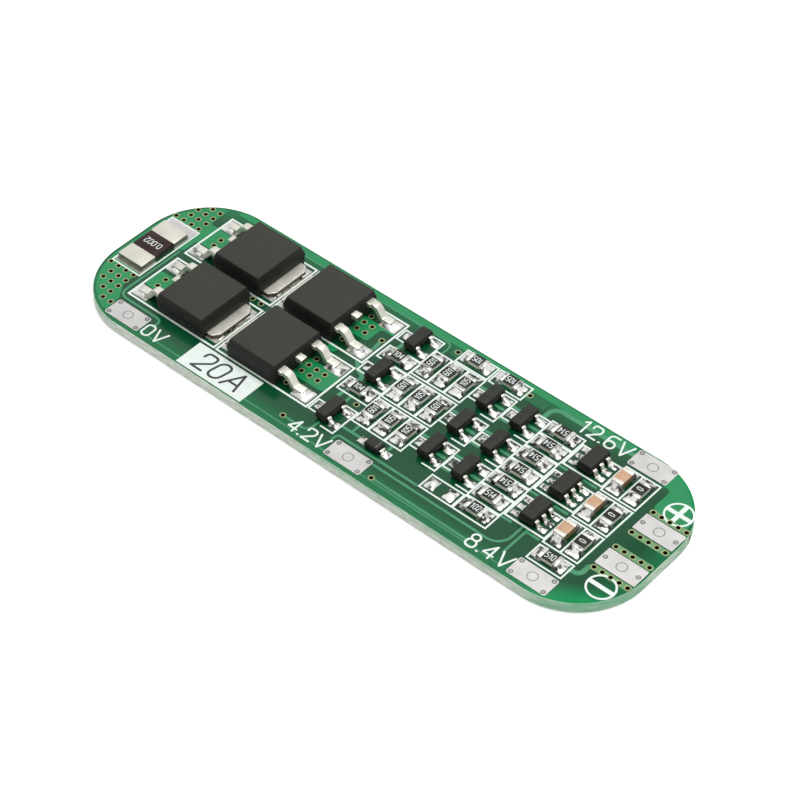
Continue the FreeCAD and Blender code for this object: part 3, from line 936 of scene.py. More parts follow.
SHUNT_BOX = (-31.2, -3.79, -27.55, 4.45)
POWER_BOXES = [(x0, y0, x1, y1) for x0, x1 in ((-26.55, -15.3), (-14.95, -3.62))
               for y0, y1 in ((1.49, 8.14), (-6.2, 0.46))]
SPARE_BOX = (10.5, -6.85, 14.2, -5.0)
RATING_BOX = (-16.7, -9.8, -8.56, -6.55)

# Text of each label, its middle, its height and how far it is spread
LABELS = (("0V", -20.72, -8.6, 1.5, 1.06), ("4.2V", -1.08, -8.6, 1.5, 1.07),
          ("8.4V", 20.02, -8.6, 1.6, 1.07), ("12.6V", 19.32, 8.72, 1.6, 1.04))
SIGN_X = 29.71
SIGNS = ((5.65, "+"), (-5.45, "-"))
LAYER_STEP = 0.001 * MM


def print_base():
    """Underside and top of the print. It starts at the mask and ends above the copper."""
    look = settings("print_look")
    return BOARD_TOP, BOARD_TOP + settings("board_look").copper_height + look.ink_height


# Operators


class PieceOperator(bpy.types.Operator):
    """Operator that can be undone."""
    bl_options = {"REGISTER", "UNDO"}


class BATTERY_BOARD_OT_stage(PieceOperator):
    """Camera, lamps, world and floor."""
    bl_idname = "battery_board.stage"
    bl_label = "Stage"

    def execute(self, context):
        """Set the camera, the light and the floor."""
        look = settings("stage_look")
        self.camera(look)
        self.lamp("key_lamp", (0.01, 0.07, 0.36), spread=0.2, power=0.85)
        self.lamp("fill_lamp", (0.3, -0.1, 0.26), spread=0.3, power=0.12)
        self.world()
        self.floor(look)
        bpy.context.scene.view_settings.view_transform = "Standard"
        return {"FINISHED"}

    def camera(self, look):
        """Camera at the photograph's angle."""
        deselect()
        place = Vector(look.camera_place) + Vector((0, 0, BOARD_TOP))
        bpy.ops.object.camera_add(location=place, rotation=(QUARTER - look.camera_rise, 0, look.camera_turn))
        camera = bpy.context.object
        camera.data.lens = look.camera_lens
        camera.data.sensor_width = look.camera_sensor
        camera.data.shift_x = look.camera_shift
        camera.data.clip_start = MM
        bpy.context.scene.camera = camera

    def lamp(self, name, place, spread, power):
        """Square soft lamp aimed at the board."""
        deselect()
        aim = (-Vector(place)).to_track_quat("-Z", "Y").to_euler()
        bpy.ops.object.light_add(type="AREA", location=place, rotation=aim)
        lamp = bpy.context.object
        lamp.name = name
        lamp.data.size = spread
        lamp.data.energy = power

    def world(self):
        """Plain light, and white where the camera or a reflection sees it."""
        world = bpy.data.worlds.new("plain")
        bpy.context.scene.world = world
        nodes = Wiring(world, "Background")
        nodes.plain("Color", (1, 1, 1, 1))
        seen = nodes.seen_by("Is Camera Ray", "Is Transmission Ray", "Is Glossy Ray")
        nodes.lead(nodes.ranged(seen, 0.0, 1.0, 0.4, 1.0, "LINEAR"), "Strength")

    def floor(self, look):
        """Pale floor that is white to the camera where no shadow falls."""
        deselect()
        bpy.ops.mesh.primitive_plane_add(size=6, location=(0, 0, BOARD_UNDER - 0.02 * MM))
        floor = bpy.context.object
        floor.name = "floor"
        finish = new_finish("floor")
        stops = [(0.0, toned(look.floor, 0.99)), (1.0, look.floor)]
        finish.lead(finish.ramp(finish.speckle(40), stops), "Base Color")
        finish.lead(finish.ranged(finish.seen_by("Is Camera Ray"), 0.0, 1.0, 0.0, 0.45, "LINEAR"),
                    "Emission Strength")
        finish.plain("Emission Color", (1, 1, 1, 1))
        finish.plain("Roughness", 0.9)
        floor.data.materials.append(FINISH["floor"])


class BATTERY_BOARD_OT_laminate(PieceOperator):
    """Board with round corners and drilled holes."""
    bl_idname = "battery_board.laminate"
    bl_label = "Board"

    def execute(self, context):
        """Shape the board."""
        look = settings("board_look")
        base = BOARD_UNDER + look.copper_height
        corner = Vector((low("circuit_board").x, low("circuit_board").y, base))
        board = block("board", corner, high("circuit_board"), "mask")
        select_edges(board, lambda start, end: abs(start.z - end.z) > MM / 2)
        bpy.ops.mesh.bevel(offset=look.corner_radius, segments=look.corner_steps, clamp_overlap=False)
        leave_edit()
        soften(board, look.edge_round, 2, math.radians(60))
        drilled(board, look.hole_radius + look.plating)
        activate(board)
        bpy.ops.object.shade_smooth_by_angle(angle=math.radians(15))
        paint(board, "laminate_edge", lambda face: abs(face.normal.z) < 0.95)
        paint(board, "barrel", lambda face: abs(face.normal.z) < 0.5 and self.in_hole(face.center, look))
        ride(board, "laminate", "circuit_board")
        return {"FINISHED"}

    def in_hole(self, point, look):
        """Whether a place is on the wall of a drilled hole."""
        reach = look.hole_radius + 0.08 * MM
        return any(abs(point.x - x * MM) < reach and abs(point.y - y * MM) < reach for x, y in HOLES)


class BATTERY_BOARD_OT_copper(PieceOperator):
    """Copper fields and traces under the mask."""
    bl_idname = "battery_board.copper"
    bl_label = "Copper"

    def execute(self, context):
        """Lay the copper on both faces."""
        look = settings("board_look")
        bottom = BOARD_TOP - SUNK
        top = BOARD_TOP + look.copper_height
        # Each field and trace lies a touch lower than the last, so that no two faces are level
        field_step, trace_step, first_trace = 0.0005 * MM, 0.0003 * MM, 30
        fields = []
        for outlines, finish in ((COPPER_FIELDS, "mask_copper"), (EDGE_FIELDS, "mask_edge"),
                                 (STRIP_FIELDS, "mask_strip")):
            for outline in outlines:
                rounded = rounded_path(in_metres(outline), 0.4 * MM, True)
                fields.append(self.plate([rounded], bottom, top - len(fields) * field_step, finish))
        ride(joined("copper_fields", fields), "laminate", "circuit_board")
        traces = []
        for width, bend, points in TRACES:
            path = rounded_path(in_metres(points), bend * MM, False, 8)
            lower = (first_trace + len(traces)) * trace_step
            traces.append(self.plate(stroke(path, width * MM), bottom, top - lower, "mask_trace"))
        ride(joined("copper_traces", traces), "laminate", "circuit_board")
        self.underside(look)
        return {"FINISHED"}

    def plate(self, outlines, bottom, top, finish):
        """Flat copper with the board's holes through it."""
        return drilled(flat_shape("copper", outlines, bottom, top, finish),
                       settings("board_look").hole_radius + 0.05 * MM)

    def underside(self, look):
        """Two wide fields on the lower face, with a slanted gap between them."""
        edge, gap_x, gap, slant = 9.8, 1.2, 0.6, 3.0
        left = corner_arc(-1, -1, 270, 180) + corner_arc(-1, 1, 180, 90)
        left += [(gap_x, edge), (gap_x - slant, -edge)]
        right = corner_arc(1, -1, -90, 0) + corner_arc(1, 1, 0, 90)
        right += [(gap_x + gap, edge), (gap_x + gap - slant, -edge)]
        bottom = BOARD_UNDER + SUNK
        fields = [self.plate([in_metres(outline)], bottom, bottom + look.copper_height, "mask_copper")
                  for outline in (left, right)]
        ride(joined("underside_copper", fields), "laminate", "circuit_board")


class BATTERY_BOARD_OT_plated_holes(PieceOperator):
    """Plated holes with a ring on both faces."""
    bl_idname = "battery_board.plated_holes"
    bl_label = "Plated holes"

    def execute(self, context):
        """Line every hole."""
        look = settings("board_look")
        top = BOARD_TOP + look.copper_height + 0.012 * MM
        wall = look.hole_radius + look.plating
        ring = look.ring_radius
        seat = BOARD_TOP - 0.005 * MM
        floor = BOARD_UNDER + look.copper_height + 0.005 * MM
        profile = [(look.hole_radius, BOARD_UNDER), (look.hole_radius, top - 0.02 * MM),
                   (look.hole_radius + 0.02 * MM, top), (ring - 0.015 * MM, top), (ring, top - 0.015 * MM),
                   (ring, seat), (wall, seat), (wall, floor), (ring, floor), (ring, BOARD_UNDER)]
        pattern = turned("plated_hole", profile, HOLE_SIDES, "barrel")
        paint(pattern, "ring", lambda face: face.center.xy.length > look.hole_radius + 0.004 * MM)
        bpy.ops.object.shade_smooth_by_angle(angle=math.radians(40))
        copies = [copied(pattern, "plated_hole", (x * MM, y * MM, 0)) for x, y in HOLES]
        discard(pattern)
        ride(joined("plated_holes", copies), "laminate", "circuit_board")
        return {"FINISHED"}


class BATTERY_BOARD_OT_print(PieceOperator):
    """White outlines, terminal labels and symbols."""
    bl_idname = "battery_board.print"
    bl_label = "Print"

    def execute(self, context):
        """Print the outlines and labels."""
        self.lines = []
        self.box(SHUNT_BOX)
        for corners in POWER_BOXES:
            self.box(corners, weight=1.25)
        for node in nodes_like(*CHIPS):
            self.round_chip(node)
        self.box(SPARE_BOX)
        for node in nodes_like(*TRANSISTORS):
            self.brackets(node)
        for node in nodes_like("monitor_chip_body"):
            y = centre(node).y / MM
            self.box((18.25, y - 1.66, 22.65, y + 1.32), weight=1.15)
        ride(joined("print_outlines", self.lines), "laminate", "circuit_board")
        self.labels()
        return {"FINISHED"}

    def ink_line(self, points, closed=True, weight=1.0):
        """One printed line through points in metres, a touch lower than the line before it."""
        width = settings("print_look").line_width * weight
        bottom, top = print_base()
        lower = len(self.lines) * LAYER_STEP / 5
        self.lines.append(flat_shape("line", stroke(points, width, closed), bottom, top - lower, "ink"))

    def box(self, corners, weight=1.0):
        """Printed rectangle, in millimetres."""
        self.ink_line(in_metres(rectangle(*corners)), True, weight)

    def round_chip(self, node):
        """Rectangle round a chip and its solder, printed a little off the chip's middle."""
        middle = centre(node) + Vector((0.06, -0.11, 0)) * MM
        along, across = 1.87 * MM, 0.94 * MM
        if chip_turn(node):
            along, across = across, along
        self.ink_line(rectangle(middle.x - along, middle.y - across, middle.x + along, middle.y + across))

    def brackets(self, node):
        """Two open brackets round a small transistor."""
        x, y = centre(node).x / MM, centre(node).y / MM
        for start, end, near, far in ((-1.1, -1.98, 0.83, 0.62), (0.4, 1.85, 1.82, 1.62)):
            bracket = [(x + start, y - near), (x + end, y - near), (x + end, y + far), (x + start, y + far)]
            self.ink_line(in_metres(bracket), False)

    def labels(self):
        """Voltages, rating and the two signs."""
        pen = settings("print_look").letter_width
        bottom, top = print_base()
        parts = [figures("label", text, (x * MM, y * MM), height * MM, pen, bottom, top, "ink", spread=spread)
                 for text, x, y, height, spread in LABELS]
        plate = in_metres(rectangle(*RATING_BOX))
        parts.append(flat_shape("plate", [plate], bottom, top - 4 * LAYER_STEP, "ink"))
        parts.append(figures("rating", "20A", (-12.63 * MM, -8.12 * MM), 2.2 * MM, 0.26 * MM, bottom, top,
                             "dark_figures", slant=0.18, spread=1.04))
        for y, sign in SIGNS:
            parts += self.sign(SIGN_X, y, sign)
        ride(joined("print_labels", parts), "laminate", "circuit_board")

    def sign(self, x, y, sign):
        """Ring with a plus or minus in it."""
        arm, half = 1.3, 0.22
        shapes = [[circle(x * MM, y * MM, radius * MM, 40) for radius in (1.425, 1.225)],
                  [in_metres(rectangle(x - arm, y - half, x + arm, y + half))]]
        if sign == "+":
            shapes.append([in_metres(rectangle(x - half, y - arm, x + half, y + arm))])
        bottom, top = print_base()
        clear = settings("board_look").hole_radius + 0.03 * MM
        return [drilled(flat_shape("sign", outlines, bottom, top - i * LAYER_STEP, "ink"), clear)
                for i, outlines in enumerate(shapes)]


class BATTERY_BOARD_OT_terminals(PieceOperator):
    """Tinned terminals with their filled holes."""
    bl_idname = "battery_board.terminals"
    bl_label = "Terminals"

    def execute(self, context):
        """Make each terminal on its node."""
        for node in nodes_like("terminal"):
            lowest, highest, middle = low(node), high(node), centre(node)
            # An output terminal has a filled hole at each end, a cell tap has one in each corner
            if node in ("terminal_plus", "terminal_minus"):
                corner = 0.12 * MM
                places = [(-1.77, 0), (1.77, 0)]
            else:
                corner = 0.25 * MM
                places = [(side * 1.78, end * 0.78) for side in (-1, 1) for end in (-1, 1)]
            outline = rounded_path(rectangle(lowest.x, lowest.y, highest.x, highest.y), corner, True)
            parts = [flat_shape("plate", [outline], BOARD_TOP, highest.z, "tin", 0.02 * MM)]
            for x, y in places:
                place = Vector((middle.x + x * MM, middle.y + y * MM, highest.z))
                parts.append(self.mark(place, radius=0.2 * MM, thickness=0.055 * MM))
                parts.append(self.plug(place, radius=0.19 * MM))
            top = Vector((middle.x, middle.y, highest.z))
            parts.append(self.mark(top, radius=0.5 * MM, thickness=0.045 * MM))
            ride(joined(f"{node}_tinned", parts), "tinned_pad", node)
        return {"FINISHED"}

    def mark(self, place, radius, thickness):
        """Fine ring pressed into the tin."""
        deselect()
        sunk = place - Vector((0, 0, thickness * 0.7))
        bpy.ops.mesh.primitive_torus_add(location=sunk, major_radius=radius, minor_radius=thickness,
                                         major_segments=28, minor_segments=8)
        ring = bpy.context.object
        settle(ring)
        paint(ring, "tin_mark")
        bpy.ops.object.shade_smooth()
        return ring

    def plug(self, place, radius):
        """Grey plug in a filled hole."""
        outline = circle(place.x, place.y, radius)
        return flat_shape("plug", [outline], place.z - 0.04 * MM, place.z + 0.004 * MM, "tin_plug")


class BATTERY_BOARD_OT_shunt(PieceOperator):
    """Current-sensing strip with two wide metal ends."""
    bl_idname = "battery_board.shunt"
    bl_label = "Shunt"

    def execute(self, context):
        """Shape the strip, its ends and its coat."""
        node = "shunt_resistor"
        lowest, highest, middle = low(node), high(node), centre(node)
        end = 1.95 * MM
        step = 0.06 * MM
        parts = []
        for y0, y1 in ((lowest.y, lowest.y + end), (highest.y - end, highest.y)):
            metal = block("end", (lowest.x, y0, lowest.z), (highest.x, y1, highest.z), "shunt_end")
            soften(metal, 0.09 * MM, 3)
            # The sides of the shunt ends get painted shade
            paint(metal, "painted_shade_and_band", lambda face: abs(face.normal.z) < 0.5)
            parts.append(metal)
        core = block("core", (lowest.x + step, lowest.y + end - step, lowest.z),
                     (highest.x - step, highest.y - end + step, highest.z - step), "mould")
        coat = block("coat", (lowest.x + step, lowest.y + end, highest.z - 3 * step),
                     (highest.x - step, highest.y - end, highest.z - step * 0.3), "shunt_coat")
        soften(coat, 0.05 * MM, 2)
        top = highest.z + 0.004 * MM - step * 0.3
        parts += [core, coat, figures("value", "0.002", (middle.x, middle.y), 0.7 * MM, 0.08 * MM,
                                      highest.z - 2 * step, top, "ink", math.pi, spread=0.86)]
        ride(joined("shunt_strip", parts), "shunt_ceramic", node)
        return {"FINISHED"}


class BATTERY_BOARD_OT_power_transistors(PieceOperator):
    """Power transistors: drafted housing, tab, cut stub and two bent leads."""
    bl_idname = "battery_board.power_transistors"
    bl_label = "Power transistors"

    def execute(self, context):
        """Model one transistor and copy it to the four places."""
        level = 1.3 * MM
        housing = self.housing(level)
        leads = self.lead_frame(level)
        for i in (1, 2, 3, 4):
            middle = centre(f"power_body_{i}")
            place = (middle.x, middle.y, SEAT)
            turn = power_turn(i)
            ride(copied(housing, f"power_housing_{i}", place, turn), "power_moulding", f"power_body_{i}")
            ride(copied(leads, f"power_leads_{i}", place, turn), "lead_frame", f"power_leadframe_{i}")
        discard(housing)
        discard(leads)
        return {"FINISHED"}

    def housing(self, level):
        """Housing, with its steepest side over the tab."""
        half_w, rise = 3.3 * MM, 2.2 * MM
        rounding = (settings("package_look").mould_round, 4, math.radians(40))
        return drafted((-POWER_HALF, -half_w, 0), (POWER_HALF, half_w, rise), level,
                       (0.34, 0.2, 0.24), (0.08, 0.08, 0.1), rounding, "mould")

    def lead_frame(self, level):
        """Tab with its cut stub, and two bent leads with wider shoulders."""
        thick, width, foot = 0.5 * MM, 0.78 * MM, 1.15 * MM
        end, half_tab, cut = -POWER_HALF - 1.1 * MM, 2.7 * MM, 0.55 * MM
        outline = [(TAB_INNER, -half_tab), (TAB_INNER, half_tab), (end + cut, half_tab),
                   (end, half_tab - cut * 1.3), (end, -half_tab + cut * 1.3), (end + cut, -half_tab)]
        tab = flat_shape("tab", [rounded_path(outline, 0.25 * MM, True, 4)], 0, thick, "lead", 0.05 * MM)
        paint(tab, "cut_edge", lambda face: abs(face.normal.z) < 0.4 and face.center.z < thick * 0.7)
        inside = POWER_HALF - 0.8 * MM
        path = [(TAB_INNER, thick / 2), (inside, level), (POWER_HALF + 0.75 * MM, level)]
        stub = upright_shape("stub", strip(path, thick), 0, width, "lead")
        soften(stub, 0.04 * MM, 2)
        paint(stub, "cut_edge", facing((1, 0, 0), 0.8))
        parts = [tab, stub]
        path = rounded_path([(inside, level), (POWER_HALF + 0.95 * MM, level), (POWER_TIP - foot, thick / 2),
                             (POWER_TIP, thick / 2)], 0.5 * MM, False, 8)
        half_t, half_w = thick * 0.46, 0.5 * MM
        for y in (-POWER_LEAD_Y, POWER_LEAD_Y):
            lead = upright_shape("lead", strip(path, thick), y, width, "lead")
            soften(lead, 0.06 * MM, 2, math.radians(50))
            shoulder = block("shoulder", (POWER_HALF - 0.3 * MM, y - half_w, level - half_t),
                             (POWER_HALF + 0.4 * MM, y + half_w, level + half_t), "lead")
            soften(shoulder, 0.08 * MM, 2)
            parts += [lead, shoulder]
        return joined("frame", parts)


def small_housing(half_x, half_y, height, standoff):
    """Small drafted housing."""
    draft = (0.09, 0.09, 0.09)
    rounding = (settings("package_look").small_round, 3, math.radians(20))
    return drafted((-half_x, -half_y, standoff), (half_x, half_y, height), (height + standoff) / 2,
                   draft, draft, rounding, "small_mould")


def small_pin(side, y, body_edge, tip, level, width):
    """Thin bent pin from a housing to the board."""
    thick, foot = 0.14 * MM, 0.36 * MM
    path = rounded_path([(body_edge - 0.2 * MM, level), (body_edge + 0.14 * MM, level),
                         (tip - foot, thick / 2), (tip, thick / 2)], 0.16 * MM, False, 5)
    path = [(side * x, z) for x, z in path]
    pin = upright_shape("pin", strip(path, thick), y, width, "lead")
    soften(pin, 0.02 * MM, 1, math.radians(50))
    return pin


class BATTERY_BOARD_OT_small_transistors(PieceOperator):
    """Small three-legged transistors."""
    bl_idname = "battery_board.small_transistors"
    bl_label = "Small transistors"

    def execute(self, context):
        """Model one transistor and copy it."""
        half_x = 0.65 * MM
        parts = [small_housing(half_x, 1.45 * MM, height=1.0 * MM, standoff=0.08 * MM)]
        for side, y in ((1, -PIN_PITCH), (1, PIN_PITCH), (-1, 0)):
            parts.append(small_pin(side, y, half_x, TRANSISTOR_TIP, level=0.54 * MM, width=0.42 * MM))
        pattern = joined("pattern", parts)
        for node in nodes_like(*TRANSISTORS):
            ride(copied(pattern, f"{node}_dressed", stand(node)), "small_moulding", node)
        discard(pattern)
        return {"FINISHED"}


class BATTERY_BOARD_OT_monitor_chips(PieceOperator):
    """Six-legged monitor chips."""
    bl_idname = "battery_board.monitor_chips"
    bl_label = "Monitor chips"

    def execute(self, context):
        """Model one chip and copy its housing and pins."""
        half_x = 0.8 * MM
        housing = small_housing(half_x, 1.45 * MM, height=1.1 * MM, standoff=0.08 * MM)
        pins = joined("pins", [small_pin(side, y, half_x, MONITOR_TIP, level=0.59 * MM, width=0.42 * MM)
                               for side in (-1, 1) for y in (-PIN_PITCH, 0, PIN_PITCH)])
        for i in (1, 2, 3):
            place = stand(f"monitor_chip_body_{i}", f"monitor_chip_leads_{i}")
            ride(copied(housing, f"monitor_housing_{i}", place), "small_moulding", f"monitor_chip_body_{i}")
            ride(copied(pins, f"monitor_pins_{i}", place), "pin_metal", f"monitor_chip_leads_{i}")
        discard(housing)
        discard(pins)
        return {"FINISHED"}


def capped_chip(height, inner, core_finish, core_rounding, end_finish, end_rounding):
    """Core and two metal ends of a chip that lies along X. The ends start at inner."""
    half_l, half_w, step = 1.0 * MM, CHIP_HALF_W, 0.03 * MM
    core = block("core", (-half_l + step, -half_w + step, step),
                 (half_l - step, half_w - step, height - step), core_finish)
    soften(core, *core_rounding)
    parts = [core]
    for side in (-1, 1):
        x0, x1 = sorted((side * inner, side * half_l))
        metal = block("end", (x0, -half_w, 0), (x1, half_w, height), end_finish)
        soften(metal, *end_rounding)
        parts.append(metal)
    return parts


class BATTERY_BOARD_OT_chip_resistors(PieceOperator):
    """Chip resistors with metal ends, a dark coat and their value."""
    bl_idname = "battery_board.chip_resistors"
    bl_label = "Chip resistors"

    # Chips whose value stands upside down, and the values in the order of the nodes
    FLIPPED = ("supply_resistor_1", "supply_resistor_2", "ladder_resistor_1", "ladder_resistor_2",
               "ladder_resistor_3", "ladder_resistor_4", "ladder_resistor_5")
    VALUES = {"bleed_resistor": ("601", "601", "105", "601", "105", "601", "601", "105", "105"),
              "gate_resistor": ("104", "104"), "link_resistor": ("0", "0", "0"), "setting_resistor": ("510",),
              "supply_resistor": ("105", "105"),
              "ladder_resistor": ("514", "514", "514", "514", "514", "514", "102")}

    def execute(self, context):
        """Model one chip, copy it to each node and add the value."""
        pattern = self.chip()
        for prefix, values in self.VALUES.items():
            for node, value in zip(nodes_like(prefix), values):
                middle, top, turn = centre(node), high(node).z, chip_turn(node)
                chip = copied(pattern, "chip", stand(node), turn)
                text_turn = turn + math.pi if node in self.FLIPPED else turn
                text = figures("value", value, (middle.x, middle.y), 0.62 * MM, 0.075 * MM,
                               top - 0.02 * MM, top, "ink", text_turn, spread=0.72)
                ride(joined(f"{node}_dressed", [chip, text]), "resistor_ceramic", node)
        discard(pattern)
        return {"FINISHED"}

    def chip(self):
        """One resistor, lying along X."""
        height, half_l, half_w = 0.49 * MM, 0.6 * MM, CHIP_HALF_W - 0.02 * MM
        parts = capped_chip(height, 0.66 * MM, "ceramic", (0.015 * MM, 1), "chip_end", (0.04 * MM, 2))
        coat = block("coat", (-half_l, -half_w, height - 0.06 * MM),
                     (half_l, half_w, height + 0.003 * MM), "coat")
        soften(coat, 0.03 * MM, 2)
        return joined("pattern", parts + [coat])


class BATTERY_BOARD_OT_capacitors(PieceOperator):
    """Filter capacitors: ceramic block with rounded metal ends."""
    bl_idname = "battery_board.capacitors"
    bl_label = "Capacitors"

    def execute(self, context):
        """Model one capacitor and copy it."""
        parts = capped_chip(0.85 * MM, 0.54 * MM, "capacitor", (0.05 * MM, 2), "capacitor_end", (0.1 * MM, 3))
        # The ceramic's sides and underside get painted shade
        paint(parts[0], "capacitor_painted_shade", lambda face: face.normal.z < 0.5)
        for metal in parts[1:]:
            # The sides of the capacitor ends get painted shade
            paint(metal, "painted_shade_and_band", lambda face: abs(face.normal.y) > 0.6)
        pattern = joined("pattern", parts)
        for node in nodes_like("filter_capacitor"):
            twin = copied(pattern, f"{node}_dressed", stand(node), chip_turn(node))
            ride(twin, "capacitor_ceramic", node)
        discard(pattern)
        return {"FINISHED"}


class BATTERY_BOARD_OT_diode(PieceOperator):
    """Signal diode with a band and two flat pins."""
    bl_idname = "battery_board.diode"
    bl_label = "Diode"

    def execute(self, context):
        """Model the diode."""
        node = "signal_diode"
        top = high(node).z - low(node).z
        half_x = 0.85 * MM
        parts = [small_housing(half_x, 0.575 * MM, height=top, standoff=0.05 * MM)]
        for side in (-1, 1):
            parts.append(small_pin(side, 0, half_x, DIODE_TIP, level=0.3 * MM, width=0.6 * MM))
        # The band is the diode's own mark, in the colour that elsewhere is painted shade on metal sides
        parts.append(block("band", (0.42 * MM, -0.46 * MM, top - 0.02 * MM),
                           (0.5 * MM, 0.46 * MM, top + 0.002 * MM), "painted_shade_and_band"))
        piece = joined("pattern", parts)
        ride(copied(piece, "diode_dressed", stand(node)), "small_moulding", node)
        discard(piece)
        return {"FINISHED"}


class BATTERY_BOARD_OT_solder(PieceOperator):
    """Lands and solder fillets."""
    bl_idname = "battery_board.solder"
    bl_label = "Solder"

    def execute(self, context):
        """Solder every part to the board."""
        self.parts = []
        for node in nodes_like(*CHIPS):
            self.chip_ends(node)
        for turn in (0, math.pi):
            self.spare_land(12.3 * MM, -5.9 * MM, turn)
        for node in nodes_like(*TRANSISTORS):
            middle = centre(node)
            for turn, y in ((0, -PIN_PITCH), (0, PIN_PITCH), (math.pi, 0)):
                self.pin(middle.x, middle.y + y, turn, TRANSISTOR_TIP, width=0.9 * MM)
        for node in nodes_like("monitor_chip_body"):
            middle = centre(node)
            for turn in (0, math.pi):
                for y in (-PIN_PITCH, 0, PIN_PITCH):
                    self.pin(middle.x, middle.y + y, turn, MONITOR_TIP, width=0.6 * MM)
        diode = centre("signal_diode")
        for turn in (0, math.pi):
            self.pin(diode.x, diode.y, turn, DIODE_TIP, width=0.85 * MM, rise=0.3 * MM)
        for i in (1, 2, 3, 4):
            self.power(centre(f"power_body_{i}"), power_turn(i))
        self.shunt()
        ride(joined("solder_made", self.parts), "solder", "solder_joints")
        return {"FINISHED"}

    def place(self, piece, x, y, turn):
        """Turn a piece made round the origin and put it on the board."""
        activate(piece)
        piece.rotation_euler = (0, 0, turn)
        piece.location = (x, y, 0)
        settle(piece)
        self.parts.append(piece)

    def land(self, x, y, turn, start, end, width, finish="land"):
        """Flat tinned land with soft, uneven edges."""
        outline = rounded_path(rectangle(start, -width / 2, end, width / 2), 0.12 * MM, True, 3)
        # With the default finish the land is a darker copy of the solder: painted shade
        piece = flat_shape("land", [outline], BOARD_TOP - SUNK, SEAT - 0.008 * MM, finish, 0.012 * MM)
        self.place(piece, x, y, turn)

    def spare_land(self, x, y, turn):
        """Tinned land with a low dome, where no part is fitted."""
        self.land(x, y, turn, 0.5 * MM, 1.6 * MM, 1.45 * MM)

        def height(s, v):
            lump = 1 + 0.3 * noise.noise(Vector((s * 2, v, turn)))
            return 0.01 * MM + 0.2 * MM * (falling(2 * s - 1, 2) * falling(v, 2)) * lump

        start = (0.52 * MM, 0, SEAT - SUNK)
        dome = mound("dome", start, reach=1.05 * MM, width=1.3 * MM, height=height)
        self.place(dome, x, y, turn)

    def chip_ends(self, node):
        """Land and fillet at both ends of a chip."""
        middle = centre(node)
        tall = high(node).z - SEAT
        for turn in (chip_turn(node), chip_turn(node) + math.pi):
            self.land(middle.x, middle.y, turn, 0.55 * MM, 1.7 * MM, 1.42 * MM)
            seed = seed_at(middle.x, middle.y, turn)
            full = 0.86 + 0.2 * noise.noise(Vector((seed, 0.3, 0.7)))

            def height(s, v):
                shoulder = falling(v, 5) ** 0.6
                slope = (1 - s) ** (1.5 + 0.5 * full)
                lump = uneven(0.22, s * 3, v * 2, seed)
                return 0.03 * MM + tall * min(1.0, full) * slope * shoulder * lump * 0.92

            start = (0.98 * MM, 0, SEAT - SUNK)
            fillet = mound("fillet", start, reach=0.68 * MM, width=1.32 * MM, height=height)
            # The fillet's flanks get painted shade
            paint(fillet, "painted_shade_solder", lambda face: abs(face.normal.y) > 0.55)
            self.place(fillet, middle.x, middle.y, turn)

    def pin(self, x, y, turn, tip, width, rise=0.34 * MM):
        """Land and fillet at a thin pin."""
        self.land(x, y, turn, tip - 0.46 * MM, tip + 0.55 * MM, width)
        seed = seed_at(x, y, turn)

        def height(s, v):
            side = falling(v / (0.6 + 0.38 * s), 2)
            return 0.02 * MM + rise * (1 - s) ** 1.1 * side * uneven(0.25, s * 3, v * 2, seed)

        start = (tip - 0.32 * MM, 0, SEAT - SUNK)
        fillet = mound("fillet", start, reach=0.82 * MM, width=width * 0.94, height=height)
        # The fillet's flanks get painted shade
        paint(fillet, "painted_shade_solder", lambda face: abs(face.normal.y) > 0.8)
        self.place(fillet, x, y, turn)

    def power(self, middle, turn):
        """Solder at the feet and along the tab of one power transistor."""
        for side in (-1, 1):
            y = middle.y + side * POWER_LEAD_Y
            self.land(middle.x, y, turn, POWER_TIP - 1.15 * MM, POWER_TIP + 0.85 * MM, 1.6 * MM, "tin")
            seed = seed_at(middle.x, y)

            def height(s, v):
                hump = math.exp(-((s - 0.3) / 0.33) ** 2)
                return 0.02 * MM + 0.42 * MM * hump * falling(v, 3) * uneven(0.5, s * 4, v * 2.5, seed)

            start = (POWER_TIP - 0.75 * MM, 0, SEAT - SUNK)
            lump = mound("foot", start, reach=1.5 * MM, width=1.5 * MM, height=height, cuts=8)
            paint(lump, "foot_solder")
            self.place(lump, middle.x, y, turn)
        self.land(middle.x, middle.y, turn, -4.3 * MM, TAB_INNER, 5.68 * MM, "tin")
        seed = middle.x * 9000 + middle.y * 4000

        def bead(s, v):
            return 0.02 * MM + 0.2 * MM * s * falling(v, 8) * uneven(0.6, s, v * 9, seed)

        start = (-4.28 * MM, 0, SEAT - SUNK)
        edge = mound("edge", start, reach=0.18 * MM, width=4.6 * MM, height=bead, cuts=8)
        self.place(edge, middle.x, middle.y, turn)

    def shunt(self):
        """Long far land and short near land of the shunt."""
        lowest, highest, middle = low("shunt_resistor"), high("shunt_resistor"), centre("shunt_resistor")
        wide = highest.x - lowest.x + 0.2 * MM
        reach = (highest.y - lowest.y) / 2
        # The far fillet is plain tin; the near fillet gets the darker metal: painted shade
        for turn, out, finish in ((QUARTER, 1.2 * MM, "tin"), (-QUARTER, 0.35 * MM, "painted_shade_and_band")):
            self.land(middle.x, middle.y, turn, reach - 1.95 * MM, reach + out, wide, "tin")

            def height(s, v):
                slope = (1 - s) ** 2.4
                return 0.015 * MM + 0.34 * MM * slope * falling(v, 6) * uneven(0.3, s * 2, v * 3, turn)

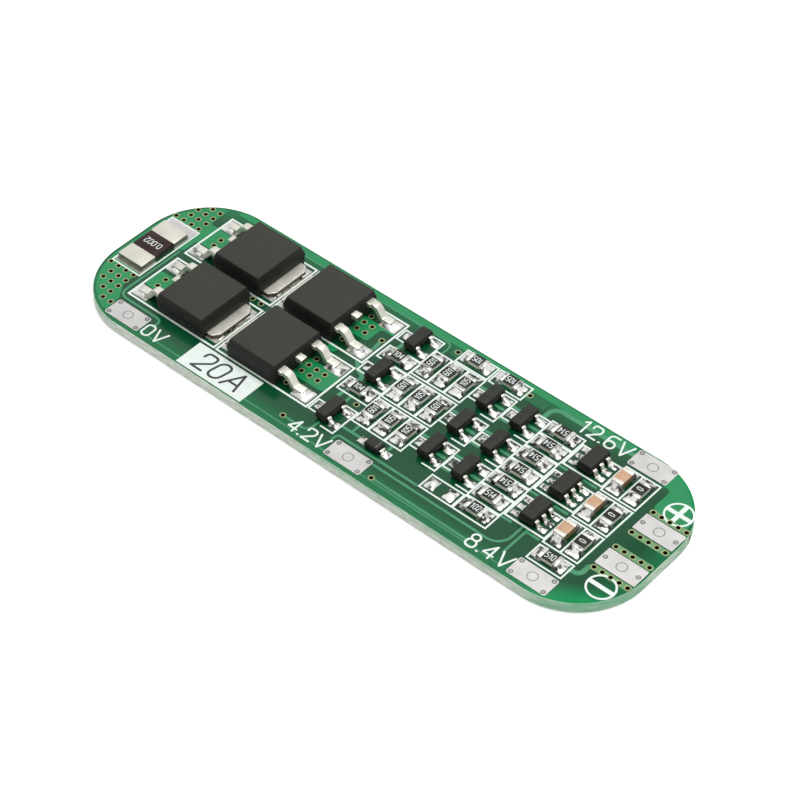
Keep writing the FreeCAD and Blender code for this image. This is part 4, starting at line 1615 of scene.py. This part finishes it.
            start = (reach - 0.02 * MM, 0, SEAT - SUNK)
            fillet = mound("fillet", start, reach=out * 0.8, width=wide * 0.94, height=height, cuts=7)
            paint(fillet, finish)
            self.place(fillet, middle.x, middle.y, turn)


PIECES = (
    BATTERY_BOARD_OT_stage,
    BATTERY_BOARD_OT_laminate,
    BATTERY_BOARD_OT_copper,
    BATTERY_BOARD_OT_plated_holes,
    BATTERY_BOARD_OT_print,
    BATTERY_BOARD_OT_terminals,
    BATTERY_BOARD_OT_shunt,
    BATTERY_BOARD_OT_power_transistors,
    BATTERY_BOARD_OT_small_transistors,
    BATTERY_BOARD_OT_monitor_chips,
    BATTERY_BOARD_OT_chip_resistors,
    BATTERY_BOARD_OT_capacitors,
    BATTERY_BOARD_OT_diode,
    BATTERY_BOARD_OT_solder,
)

LOOKS = {
    "board_look": BoardSettings,
    "print_look": PrintSettings,
    "metal_look": MetalSettings,
    "package_look": PackageSettings,
    "stage_look": StageSettings,
}


class BATTERY_BOARD_PT_panel(bpy.types.Panel):
    """Sidebar panel with the board's settings and pieces."""
    bl_idname = "BATTERY_BOARD_PT_panel"
    bl_label = "Battery Management Board"
    bl_space_type = "VIEW_3D"
    bl_region_type = "UI"
    bl_category = "Board"

    def draw(self, context):
        """List the settings and then the pieces."""
        for name, group in LOOKS.items():
            column = self.layout.column(align=True)
            column.label(text=group.__doc__)
            for field in group.__annotations__:
                column.prop(getattr(context.scene, name), field)
        for piece in PIECES:
            self.layout.operator(piece.bl_idname)


def register():
    """Add the settings, operators and panel."""
    for name, group in LOOKS.items():
        bpy.utils.register_class(group)
        setattr(bpy.types.Scene, name, PointerProperty(type=group))
    for item in PIECES + (BATTERY_BOARD_PT_panel,):
        bpy.utils.register_class(item)


def unregister():
    """Take away the panel, operators and settings."""
    for item in reversed(PIECES + (BATTERY_BOARD_PT_panel,)):
        bpy.utils.unregister_class(item)
    for name, group in LOOKS.items():
        delattr(bpy.types.Scene, name)
        bpy.utils.unregister_class(group)


def main():
    """Build the stage and every piece."""
    register()
    build_finishes()
    for piece in PIECES:
        group, action = piece.bl_idname.split(".")
        getattr(getattr(bpy.ops, group), action)()
    deselect()


if __name__ == "__main__":
    main()
